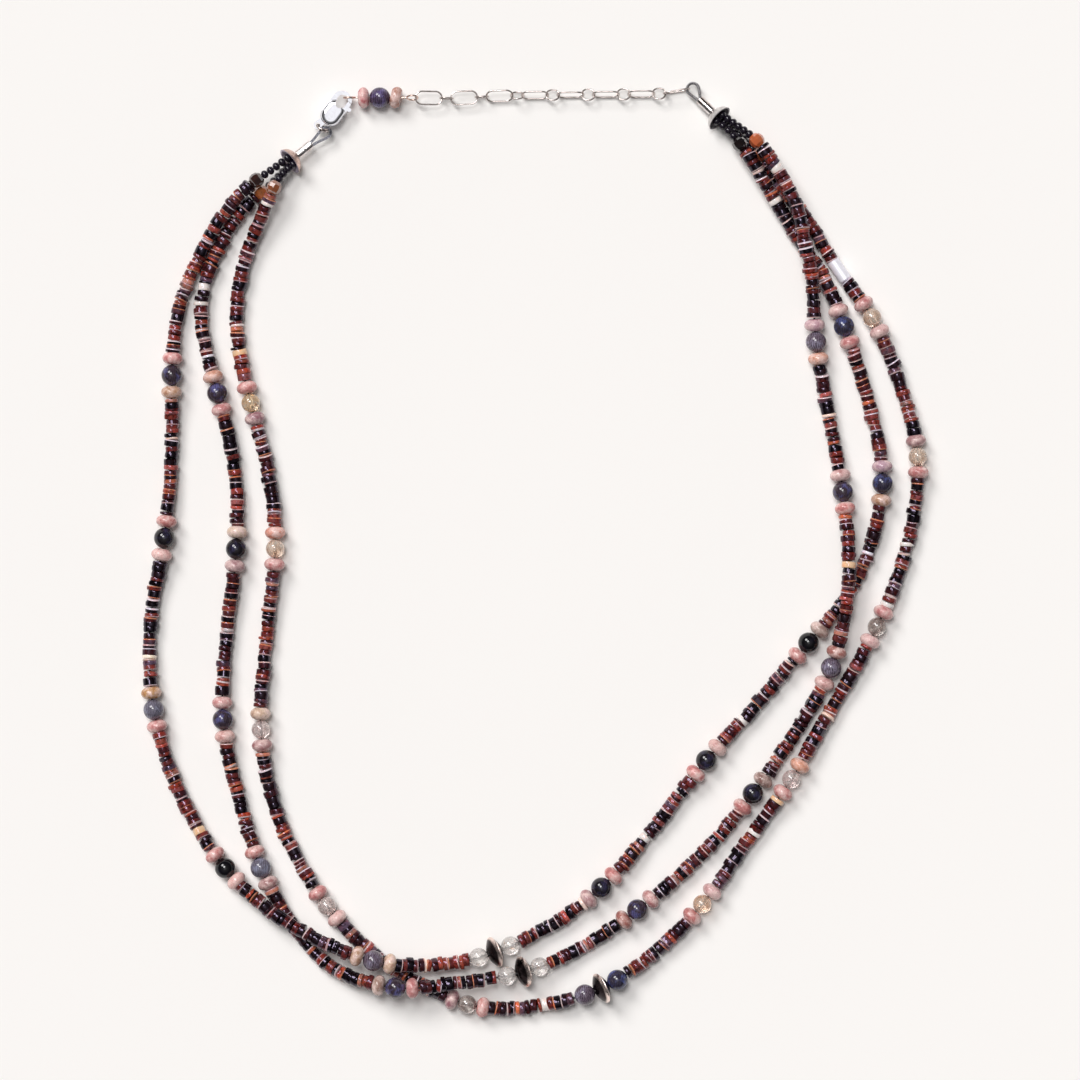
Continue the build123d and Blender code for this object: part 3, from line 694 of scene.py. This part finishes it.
def clear_stone_material(name, tint, veil, cloudiness):
    """Clear quartz with milky veils and rusty inclusions."""
    made = Shader(name)
    cloud = made.noise(430.0, 4.0, 0.6)
    rust = made.noise(640.0, 5.0, 0.7)
    milky = made.mix(made.level(cloud, 0.0, 0.8), linear(tint), linear(QUARTZ_MILK))
    rustiness = made.level(rust, 0.0, 0.75, start=0.58, end=0.68)
    made.set(
        Base_Color=made.mix(rustiness, milky, linear(veil)),
        Transmission_Weight=made.level(cloud, 0.95 - cloudiness * 0.4, 0.9 - cloudiness),
        IOR=1.5,
        Roughness=made.level(cloud, 0.03, 0.18),
        Coat_Weight=0.5,
        Coat_Roughness=0.04,
    )
    return made.material


def crystal_material():
    """Smoky cut glass; its paler clouds are painted reflections of the facets."""
    made = Shader("smoky_crystal")
    bead = made.attribute("bead_colour")
    smoke_and_glints = made.level(made.noise(500.0, 2.0), 0.0, 0.9)
    made.set(
        Base_Color=made.mix(smoke_and_glints, bead, linear(CRYSTAL_PAINTED_GLINT), "SOFT_LIGHT"),
        Transmission_Weight=0.12,
        IOR=1.55,
        Roughness=0.06,
    )
    return made.material


def metal_material(name, colour, dark, rough, tarnish=0.3, scratch=0.12, metallic=1.0):
    """Worn metal: tarnish in clouds, fine scratches in the gloss."""
    made = Shader(name)
    cloud = made.noise(700.0, 4.0, 0.6)
    fine = made.noise(5200.0, 2.0, 0.7)
    worn = made.level(cloud, 0.0, tarnish, start=0.45, end=0.7)
    made.set(
        Base_Color=made.mix(worn, linear(colour), linear(dark)),
        Metallic=metallic,
        Roughness=made.level(fine, rough * 0.7, rough * 1.5),
    )
    made.bump(fine, strength=scratch, distance=0.00002)
    return made.material


def saucer_material():
    """Oxidised metal discs with a seam worn bright, its brightness partly a painted highlight."""
    made = Shader("oxidised_saucer")
    bead = made.attribute("bead_colour")
    cloud = made.noise(800.0, 4.0, 0.65)
    grain = made.noise(3000.0, 3.0)
    dulled = made.level(cloud, 0.0, 0.5)
    made.set(
        Base_Color=made.mix(dulled, bead, linear(SAUCER_GLOW), "SOFT_LIGHT"),
        Metallic=1.0,
        Roughness=made.level(cloud, 0.2, 0.38),
    )
    made.bump(grain, strength=0.2, distance=0.00003)
    return made.material


def cone_material(name, outward, outer, inner):
    """Bronze dish whose hollow, where its faces look away from outward, has another colour: painted
    shade and light of the hollow.
    """
    made = Shader(name)
    cloud = made.noise(800.0, 4.0)
    normal = made.node("ShaderNodeTexCoord").outputs["Normal"]
    turned = made.node("ShaderNodeVectorMath", {0: normal, 1: outward}, operation="DOT_PRODUCT")
    # Faces of the hollow, which get the painted shade and light
    painted_hollow_mask = made.level(turned.outputs["Value"], 1.0, 0.0, start=-0.35, end=-0.05)
    bronze = made.mix(made.level(cloud, 0.0, 0.5), linear(outer), linear(shaded(outer, 0.62)))
    painted_hollow = made.mix(made.level(cloud, 0.0, 0.6), linear(inner), linear(shaded(inner, 0.5)))
    made.set(
        Base_Color=made.mix(painted_hollow_mask, bronze, painted_hollow),
        Metallic=made.maths("MULTIPLY_ADD", painted_hollow_mask, -0.6, 0.9),
        Roughness=made.level(cloud, 0.25, 0.42),
    )
    made.bump(cloud, strength=0.1, distance=0.00003)
    return made.material


def thread_material():
    """Dark twisted thread."""
    made = Shader("dark_thread")
    twist = made.wave(1800.0, distortion=1.0, bands_direction="DIAGONAL")
    made.set(
        Base_Color=made.mix(twist, linear(THREAD_DARK), linear(THREAD_PALE)),
        Roughness=0.7,
        Sheen_Weight=0.3,
    )
    made.bump(twist, strength=0.5, distance=0.00005)
    return made.material


def seed_material():
    """Black glass."""
    made = Shader("black_seed_glass")
    cloud = made.noise(1500.0, 3.0)
    made.set(
        Base_Color=made.mix(cloud, linear(GLASS_DARK), linear(GLASS_PALE)),
        Roughness=made.level(cloud, 0.04, 0.1),
        Specular_IOR_Level=0.5,
    )
    return made.material


SHELL = shell_material()
PINK_STONE = pink_stone_material()
CRYSTAL = crystal_material()
SAUCER = saucer_material()
THREAD = thread_material()
SEED = seed_material()
SILVER = metal_material(
    "bright_silver", (228, 228, 233), (196, 194, 200), 0.05, scratch=0.03, metallic=0.97
)
TUBE_SILVER = metal_material(
    "tube_silver", (246, 244, 252), (230, 226, 236), 0.42, metallic=0.3
)
CHAIN_SILVER = metal_material("chain_silver", (204, 194, 190), (110, 90, 82), 0.14, tarnish=0.5)
CRIMP_SILVER = metal_material("crimp_silver", (232, 226, 224), (150, 112, 92), 0.12, tarnish=0.7)
WIRE = metal_material("drawn_wire", (104, 104, 110), (58, 56, 60), 0.26)
COIL = metal_material("coiled_wire", (168, 166, 168), (92, 88, 88), 0.24)
COPPER = metal_material("coppery_wire", (222, 196, 184), (150, 112, 98), 0.2)

# Dark stones: body, flash (a painted sheen), strength of the flash, strength of the cracks
FLASHING_STONES = {
    "flash": ((48, 38, 46), (96, 94, 146), 0.8, 0.6),
    "dark": ((20, 16, 20), (62, 58, 92), 0.6, 0.6),
    "blue_grey": ((86, 82, 94), (150, 152, 176), 0.7, 0.6),
    "black": ((7, 6, 8), (28, 26, 42), 0.4, 0.6),
    "grey": ((82, 70, 82), (150, 142, 164), 0.75, 0.85),
    "blue": ((42, 38, 52), (88, 98, 156), 0.8, 0.6),
    "violet": ((62, 50, 70), (118, 106, 156), 0.8, 0.9),
}

# Clear stones: tint, rusty veil, cloudiness
CLEAR_STONES = {
    "clear": ((253, 247, 247), (210, 158, 122), 0.26),
    "yellow": ((255, 216, 160), (214, 140, 76), 0.28),
    "champagne": ((252, 216, 188), (190, 128, 92), 0.28),
    "rosy": ((240, 218, 218), (176, 130, 112), 0.3),
    "smoky": ((154, 122, 118), (104, 72, 66), 0.34),
}

STONES = {}
for kind, (body, flash, strength, cracks) in FLASHING_STONES.items():
    STONES[kind] = flashing_stone_material("stone_" + kind, body, flash, strength, cracks)
for kind, (tint, veil, cloudiness) in CLEAR_STONES.items():
    STONES[kind] = clear_stone_material("stone_" + kind, tint, veil, cloudiness)


# Beads of the strands

RONDELLE = barrel_profile(RONDELLE_RADIUS, 0.00135, RONDELLE_LENGTH, 12)
SEED_PROFILE = barrel_profile(SEED_RADIUS, 0.0006, SEED_LENGTH, 6)
CRYSTAL_PROFILE = mirrored_profile(
    [(BORE_RADIUS, CRYSTAL_LENGTH / 2), (0.001, CRYSTAL_LENGTH / 2), (0.00168, 0.00095)],
    waist=0.00188,
)
SAUCER_PROFILE = mirrored_profile(
    [
        (BORE_RADIUS, SAUCER_LENGTH / 2), (0.0009, 0.0018), (0.0013, 0.00172), (0.0019, 0.0015),
        (0.0026, 0.00112), (0.0033, 0.00066), (0.00378, 0.00034), (0.00394, 0.0002),
    ],
    waist=0.00388,
)
SAUCER_COLOURS = [SAUCER_DARK] * 6 + [SAUCER_SEAM_AND_HIGHLIGHT] * 5 + [SAUCER_DARK] * 6

crystals = BeadMesh()
crystal_middles = solid_middles("end_crystals")


def stone_nodes(name):
    """CAD nodes of a strand's round stones, in order."""
    return [f"{name}_stone_{number:02d}" for number in range(1, len(STONE_KINDS[name]) + 1)]


def node_length(node):
    """Longest side of a CAD node's box."""
    low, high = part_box(node)
    return max(high - low)


def set_material(node, material):
    """Gives a CAD node one material in place of its own."""
    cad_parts[node].data.materials.clear()
    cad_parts[node].data.materials.append(material)


def drawn_disc():
    """Colour, its spread, length and whether a layer shows, for a disc drawn from the mix."""
    weights = [share for colour, share, thin, thick in HEISHI_MIX]
    colour, share, thin, thick = chance.choices(HEISHI_MIX, weights)[0]
    length = chance.uniform(thin, thick) / 1000
    return colour, COLOUR_SPREAD, length, chance.random() < LAYER_AND_RIM_SHEEN_SHARE


def add_disc(mesh, strand, station, colour, spread, length, layered):
    """Adds one heishi disc, a little off its line, leaning and worn."""
    radius = HEISHI_RADIUS * chance.uniform(*DISC_RADIUS_SHARES)
    middle = strand.at(station)
    axis = strand.heading(station)
    off = np.array([chance.gauss(0, DISC_OFFSET) for i in range(3)])
    off[2] = max(min(off[2], DISC_RISE_LIMIT), radius * CLEARANCE_SHARE - middle[2])
    lean = np.array([chance.gauss(0, DISC_LEAN) for i in range(3)])
    bevel = min(chance.uniform(*DISC_BEVELS), length * DISC_BEVEL_SHARE)
    flats = []
    for number in range(chance.choice(WORN_SIDES)):
        flats.append((chance.uniform(0, 2 * math.pi), chance.uniform(*WORN_SHARES)))
    thickness = length * DISC_FILL
    main = varied(colour, spread)
    # Pale layer on one edge: partly the shell's layering, partly a painted rim highlight
    if layered and length > LAYERED_FROM:
        layer = varied(chance.choice(LAYER_AND_RIM_SHEEN_COLOURS), LAYER_SPREAD)
        depth = chance.uniform(*LAYER_DEPTHS)
        profile, colours = layered_disc(radius, thickness, bevel, main, layer, depth)
    else:
        profile = disc_profile(radius, thickness, bevel)
        colours = main
    if chance.random() < 0.5:
        axis = -axis
    mesh.add(
        profile, HEISHI_SIDES, middle + off, axis + lean, colours, wobble=DISC_WOBBLE,
        turn=chance.uniform(0, 1), flats=flats,
    )


def fill_with_heishi(mesh, strand, start, end, pale):
    """Discs side by side from start to end, with the pale beads at their stations."""
    station = start
    waiting = sorted(bead for bead in pale if start < bead[0] < end)
    while end - station > SHORTEST_REST:
        colour, spread, length, layered = drawn_disc()
        if waiting:
            place, pale_colour, pale_length = waiting[0]
            ahead = place - pale_length / 2 - station
            if ahead < THINNEST_DISC:
                waiting.pop(0)
                colour = pale_colour
                spread = PALE_SPREAD
                length = pale_length
                layered = False
            elif ahead < length + THINNEST_DISC:
                length = ahead
        if end - station - length < SHORTEST_LAST:
            length = end - station
        add_disc(mesh, strand, station + length / 2, colour, spread, length, layered)
        station += length


def dress_stones(name, strand):
    """Colours the round stones. Returns the station and length of each."""
    beads = []
    for node, kind in zip(stone_nodes(name), STONE_KINDS[name]):
        beads.append((strand.nearest(node_middle(node))[0], node_length(node)))
        set_material(node, STONES[kind])
    return beads


def add_saucer(name, strand):
    """Builds the saucer, leaning back. Returns its station and length."""
    saucer = BeadMesh()
    middle = node_middle(name + "_saucer")
    station = strand.nearest(middle)[0]
    leaning = strand.heading(station) - np.array((0.0, 0.0, SAUCER_LEAN))
    saucer.add(SAUCER_PROFILE, SAUCER_SIDES, middle, leaning, SAUCER_COLOURS)
    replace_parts(saucer.piece(name + "_oxidised_saucer", SAUCER, 60.0), name + "_saucer")
    return station, SAUCER_LENGTH


def add_rondelles(name, strand):
    """Builds the rondelles. Returns the station and length of each."""
    rondelles = BeadMesh()
    places = []
    for middle in solid_middles(name + "_rondelles"):
        places.append((strand.nearest(middle)[0], middle))
    places.sort(key=lambda place: place[0])
    for (station, middle), colour in zip(places, RONDELLE_COLOURS[name]):
        tint = varied(colour, RONDELLE_SPREAD)
        rondelles.add(
            RONDELLE, RONDELLE_SIDES, middle, strand.heading(station), tint, wobble=0.006,
            turn=chance.uniform(0, 1),
        )
    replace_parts(rondelles.piece(name + "_pink_rondelles", PINK_STONE), name + "_rondelles")
    return [(station, RONDELLE_LENGTH) for station, middle in places]


def add_crystals(name, strand):
    """Adds the strand's two end crystals to the others. Returns their stations and lengths."""
    ends = []
    for middle in crystal_middles:
        station, off = strand.nearest(middle)
        if off < CRYSTAL_REACH:
            ends.append((station, middle))
    ends.sort(key=lambda place: place[0])
    for (station, middle), colour in zip(ends, CRYSTAL_COLOURS[name]):
        crystals.add(CRYSTAL_PROFILE, CRYSTAL_SIDES, middle, strand.heading(station), colour)
    return [(station, CRYSTAL_LENGTH) for station, middle in ends]


def add_heishi(name, strand, beads):
    """Builds the heishi discs of every run between two other beads."""
    pale = []
    for x, y, colour, length in PALE_BEADS[name]:
        station = strand.nearest((x + CENTRING.x, y + CENTRING.y))[0]
        pale.append((station, colour, length / 1000))
    heishi = BeadMesh()
    for (station, length), (next_station, next_length) in zip(beads, beads[1:]):
        start = station + length / 2 + BEAD_GAP
        end = next_station - next_length / 2 - BEAD_GAP
        if end - start > SHORTEST_RUN:
            fill_with_heishi(heishi, strand, start, end, pale)
    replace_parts(heishi.piece(name + "_heishi_discs", SHELL, 30.0), name + "_heishi")


def add_seeds(name, strand, first_crystal, last_crystal):
    """Builds the seed beads between each cone and the next crystal."""
    seeds = BeadMesh()
    near = first_crystal - CRYSTAL_LENGTH / 2
    far = last_crystal + CRYSTAL_LENGTH / 2
    for first, last in ((0.0, near), (far, strand.length)):
        count = round((last - first) / SEED_PITCH)
        for number in range(count):
            station = first + (last - first) * (number + 0.5) / count
            seeds.add(
                SEED_PROFILE, SEED_SIDES, strand.at(station), strand.heading(station), SEED_BLACK,
                turn=chance.uniform(0, 1),
            )
    seeds.piece(name + "_seed_beads", SEED, 60.0)


def dress_strand(name):
    """Builds or colours every bead of a strand."""
    strand = Strand(name, ROUTES[name])
    beads = dress_stones(name, strand)
    beads.append(add_saucer(name, strand))
    beads += add_rondelles(name, strand)
    beads += add_crystals(name, strand)
    if name == "inner":
        beads.append((strand.nearest(node_middle("silver_tube"))[0], SILVER_TUBE_LENGTH))
    beads.sort()
    add_heishi(name, strand, beads)
    add_seeds(name, strand, beads[0][0], beads[-1][0])


for strand_name in ROUTES:
    dress_strand(strand_name)
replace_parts(crystals.piece("smoky_end_crystals", CRYSTAL, 10.0), "end_crystals")


# Ends, in the same frames as the part's source

END_HEIGHT = 0.00285
CONE_DEPTH = 0.00215
CONE_CROWN_RADIUS = 0.0013
CONE_LEAN = 18
CRIMP_LENGTH = 0.0022
CRIMP_GAP = 0.0001
RING_GAP = 0.0001
RING_WIRE_RADIUS = 0.00035
FIRST_CRIMP = CONE_DEPTH + CONE_CROWN_RADIUS * math.sin(math.radians(CONE_LEAN)) + CRIMP_GAP
LOOP_START = FIRST_CRIMP + 2 * CRIMP_LENGTH + CRIMP_GAP
STEM_START = 0.0013
PIN_HEIGHT = 0.0028
CHAIN_HEIGHT = 0.0019
LEFT_RIM = (-0.0612, 0.0969)
LEFT_HEADING = 38.8
RIGHT_RIM = (0.0465, 0.1076)
RIGHT_HEADING = 136.2
LEFT_LOOP = {"length": 0.0061, "radius": 0.0013, "wire": 0.0006, "bend": 0.0}
RIGHT_LOOP = {"length": 0.0049, "radius": 0.0015, "wire": 0.0007, "bend": -15.0}

# Wires of the loops: three bare ones on the left, a core in a close coil on the right
BARE_WIRE_RADIUS = 0.00012
BARE_WIRE_PITCH = 0.00022
CORE_RADIUS = 0.00018
COIL_WIRE_RADIUS = 0.0001
COIL_RADIUS = 0.0003
COIL_PITCH = 0.00021
COIL_STEPS = 12

# Points along a loop: shares of each leg's length, and steps round the bend
LEG_SHARES = (0.35, 0.7)
LOOP_STEPS = 14

# How far to either side the coil's axis is read
COIL_AXIS_STEP = 0.0003


def end_frame(rim, heading, reach, height):
    """Matrix of an end from its cone's rim: local Z along the wires, local X to their left."""
    drop = math.asin((END_HEIGHT - height) / reach)
    turn = math.radians(heading)
    level = Vector((math.cos(turn), math.sin(turn), 0))
    along = level * math.cos(drop) - Vector((0, 0, math.sin(drop)))
    across = Vector((-math.sin(turn), math.cos(turn), 0))
    frame = Matrix((across, along.cross(across), along)).transposed().to_4x4()
    frame.translation = Vector((rim[0], rim[1], END_HEIGHT)) + CENTRING
    return frame


def loop_line(length, radius, wire, bend, beside=0.0, back=0.0):
    """Points along a wire in an end's frame: out of the crimps, round the loop and back in.

    beside sets the wire off in the loop's plane, back moves its two ends into the crimps.
    """
    spread = wire / 2 + beside
    far = length - wire / 2 - radius
    round_radius = radius + beside
    turn = math.atan2(spread, far) + math.acos(round_radius / math.hypot(spread, far))
    plan = [(-spread, -back), (-spread, 0.0)]
    leg_end = (-round_radius * math.sin(turn), far - round_radius * math.cos(turn))
    for share in LEG_SHARES:
        plan.append((-spread + (leg_end[0] + spread) * share, leg_end[1] * share))
    for number in range(LOOP_STEPS + 1):
        angle = -turn - (2 * math.pi - 2 * turn) * number / LOOP_STEPS
        plan.append((round_radius * math.sin(angle), far - round_radius * math.cos(angle)))
    for share in reversed(LEG_SHARES):
        plan.append((spread - (leg_end[0] + spread) * share, leg_end[1] * share))
    plan += [(spread, 0.0), (spread, -back)]
    swing = math.radians(bend)
    points = []
    for x, z in plan:
        if z > 0:
            turned = x * math.cos(swing) + z * math.sin(swing)
            z = z * math.cos(swing) - x * math.sin(swing)
            x = turned
        points.append(Vector((x, 0.0, LOOP_START + z)))
    return points


def wire_curve(name, frame, runs, radius, material, smooth=True):
    """A round wire along each run of points, given in an end's frame."""
    curve = bpy.data.curves.new(name, "CURVE")
    curve.dimensions = "3D"
    curve.bevel_depth = radius
    curve.bevel_resolution = 3
    curve.use_fill_caps = True
    curve.resolution_u = 6
    for points in runs:
        spline = curve.splines.new("NURBS" if smooth else "POLY")
        spline.points.add(len(points) - 1)
        for point, place in zip(spline.points, points):
            point.co = (*(frame @ place), 1)
        if smooth:
            spline.order_u = 4
            spline.use_endpoint_u = True
    curve.materials.append(material)
    thing = bpy.data.objects.new(name, curve)
    scene.collection.objects.link(thing)
    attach(thing, BODY)
    return thing


def coil_line(points):
    """Helix of the coil's radius and pitch round a smooth line through the points."""
    line = np.array([point[:] for point in points])
    steps = np.linalg.norm(np.diff(line, axis=0), axis=1)
    lengths = np.concatenate(([0.0], np.cumsum(steps)))

    def at(station):
        return np.array([np.interp(station, lengths, line[:, i]) for i in range(3)])

    upright = np.array((0.0, 1.0, 0.0))
    count = int(lengths[-1] / COIL_PITCH) * COIL_STEPS
    helix = []
    for number in range(count + 1):
        station = lengths[-1] * number / count
        axis = at(station + COIL_AXIS_STEP) - at(station - COIL_AXIS_STEP)
        side = np.cross(axis / np.linalg.norm(axis), upright)
        side = side / np.linalg.norm(side)
        angle = 2 * math.pi * number / COIL_STEPS
        outward = math.cos(angle) * side + math.sin(angle) * upright
        helix.append(Vector(at(station) + COIL_RADIUS * outward))
    return helix


left_reach = LOOP_START + LEFT_LOOP["length"] - LEFT_LOOP["wire"] - RING_GAP - RING_WIRE_RADIUS
right_reach = LOOP_START + RIGHT_LOOP["length"] - RIGHT_LOOP["wire"] / 2 - RIGHT_LOOP["radius"]
LEFT_END = end_frame(LEFT_RIM, LEFT_HEADING, left_reach, PIN_HEIGHT)
RIGHT_END = end_frame(RIGHT_RIM, RIGHT_HEADING, right_reach, CHAIN_HEIGHT)

stem_reach = LOOP_START - STEM_START
left_wires = []
for beside in (-BARE_WIRE_PITCH, 0.0, BARE_WIRE_PITCH):
    left_wires.append(loop_line(**LEFT_LOOP, beside=beside, back=stem_reach))
left_loop = wire_curve(
    "left_bare_wires", LEFT_END, left_wires, BARE_WIRE_RADIUS, WIRE
)
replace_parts(left_loop, "left_wire_loop")

coil_runs = [coil_line(loop_line(**RIGHT_LOOP))]
wire_curve("right_coil", RIGHT_END, coil_runs, COIL_WIRE_RADIUS, COIL, smooth=False)
core_runs = [loop_line(**RIGHT_LOOP, back=stem_reach)]
core = wire_curve("right_core_wire", RIGHT_END, core_runs, CORE_RADIUS, WIRE)
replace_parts(core, "right_wire_loop")


# Findings that keep their CAD shape

# Hollow colours of the dishes are painted: shade in the right one, light in the left one against
# the seeds' shadow
LEFT_BRONZE = (226, 196, 184)
LEFT_BRONZE_PAINTED_HOLLOW = (204, 190, 210)
RIGHT_BRONZE = (226, 222, 220)
RIGHT_BRONZE_PAINTED_HOLLOW = (130, 124, 130)

PLAIN_PARTS = {
    "threads": THREAD,
    "silver_tube": TUBE_SILVER,
    "crimps": CRIMP_SILVER,
    "clasp_body": SILVER,
    "clasp_lever": SILVER,
    "clasp_ring": CHAIN_SILVER,
    "bead_pin": COPPER,
    "extender_chain": CHAIN_SILVER,
    "left_cone": cone_material(
        "left_cone_bronze", LEFT_END.col[2].to_3d(), LEFT_BRONZE, LEFT_BRONZE_PAINTED_HOLLOW
    ),
    "right_cone": cone_material(
        "right_cone_bronze", RIGHT_END.col[2].to_3d(), RIGHT_BRONZE, RIGHT_BRONZE_PAINTED_HOLLOW
    ),
}
for node, material in PLAIN_PARTS.items():
    set_material(node, material)


# Beads of the pin: a pink rondelle, a round stone and a brown nugget

PIN_RONDELLE = barrel_profile(PIN_RONDELLE_RADIUS, 0.0014, PIN_RONDELLE_LENGTH, 12)
PIN_NUGGET = barrel_profile(PIN_RONDELLE_RADIUS, 0.0020, 0.0024, 10)
PIN_STONE = barrel_profile(0.0026, 0.00062, 0.0051, 20)
NUGGET_FLATS = ((0.6, 0.88), (3.9, 0.9))

near_middle, stone_middle, far_middle = sorted(
    solid_middles("pin_beads"), key=lambda place: place[0]
)
pin_stone = BeadMesh()
pin_rondelles = BeadMesh()
pin_rondelles.add(
    PIN_RONDELLE, PIN_SIDES, near_middle, (1.0, 0.03, 0.0), PIN_PINK, wobble=0.012
)
pin_rondelles.add(
    PIN_NUGGET, PIN_SIDES, far_middle, (1.0, -0.22, 0.1), PIN_BROWN, wobble=0.03,
    flats=NUGGET_FLATS,
)
pin_stone.add(PIN_STONE, PIN_SIDES, stone_middle, (1.0, 0.0, 0.0), PIN_BLUE)
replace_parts(pin_rondelles.piece("pin_rondelles", PINK_STONE), "pin_beads")
pin_stone.piece("pin_stone", STONES["violet"], 60.0)


# Camera, light and the white surface

PICTURE_MIDDLE = Vector((0.0015, 0.00225, 0)) + CENTRING
PICTURE_WIDTH = 0.2708
CAMERA_HEIGHT = 1.3
SENSOR_WIDTH = 36
SURFACE_HEIGHT = -0.0002
SURFACE_REACH = 8.0

lens = bpy.data.cameras.new("camera")
lens.sensor_width = SENSOR_WIDTH
lens.lens = SENSOR_WIDTH * CAMERA_HEIGHT / PICTURE_WIDTH
lens.clip_start = 0.05
camera = bpy.data.objects.new("camera", lens)
camera.location = (PICTURE_MIDDLE.x, PICTURE_MIDDLE.y, CAMERA_HEIGHT)
scene.collection.objects.link(camera)
scene.camera = camera

corners = []
for x, y in ((-1, -1), (1, -1), (1, 1), (-1, 1)):
    corners.append((x * SURFACE_REACH, y * SURFACE_REACH, SURFACE_HEIGHT))
floor_mesh = bpy.data.meshes.new("white_surface")
floor_mesh.from_pydata(corners, [], [(0, 1, 2, 3)])
surface = Shader("white_paper")
paper = surface.noise(60.0, 4.0)
surface.set(
    Base_Color=surface.mix(paper, (0.944, 0.918, 0.893, 1), (0.946, 0.92, 0.895, 1)),
    Roughness=0.9,
    Specular_IOR_Level=0.0,
)
floor_mesh.materials.append(surface.material)
floor = bpy.data.objects.new("white_surface", floor_mesh)
scene.collection.objects.link(floor)


def sun(name, towards, strength, spread, colour):
    """Even light from a direction, from a patch of sky as wide as spread degrees."""
    light = bpy.data.lights.new(name, "SUN")
    light.energy = strength
    light.angle = math.radians(spread)
    light.color = colour
    thing = bpy.data.objects.new(name, light)
    thing.rotation_euler = (-Vector(towards)).to_track_quat("-Z", "Y").to_euler()
    scene.collection.objects.link(thing)


sun("key", (-0.7, 0.9, 1.1), 1.77, 24.0, (1.0, 0.99, 0.985))
sun("top", (-0.15, 0.32, 1.0), 1.4, 20.0, (1.0, 1.0, 1.0))

# Sky: height of the direction, brightness. A pale rim, a dark band, a bright patch overhead
SKY = (
    (0.0, 1.0), (0.1, 0.96), (0.16, 0.04), (0.4, 0.04), (0.65, 0.08), (0.85, 0.22), (0.96, 0.35),
    (0.98, 1.1), (1.0, 1.25),
)
SKY_BLUE = 1.01
SKY_STRENGTH = 0.95

world = bpy.data.worlds.new("world")
scene.world = world
world.use_nodes = True
sky = world.node_tree
up = sky.nodes.new("ShaderNodeSeparateXYZ")
ramp = sky.nodes.new("ShaderNodeValToRGB")
direction = sky.nodes.new("ShaderNodeTexCoord").outputs["Generated"]
sky.links.new(direction, up.inputs["Vector"])
sky.links.new(up.outputs["Z"], ramp.inputs["Fac"])
while len(ramp.color_ramp.elements) < len(SKY):
    ramp.color_ramp.elements.new(0.5)
for element, (height, light) in zip(ramp.color_ramp.elements, SKY):
    element.position = height
    element.color = (light, light, light * SKY_BLUE, 1)
sky.links.new(ramp.outputs["Color"], sky.nodes["Background"].inputs["Color"])
sky.nodes["Background"].inputs["Strength"].default_value = SKY_STRENGTH

scene.view_settings.view_transform = "Standard"
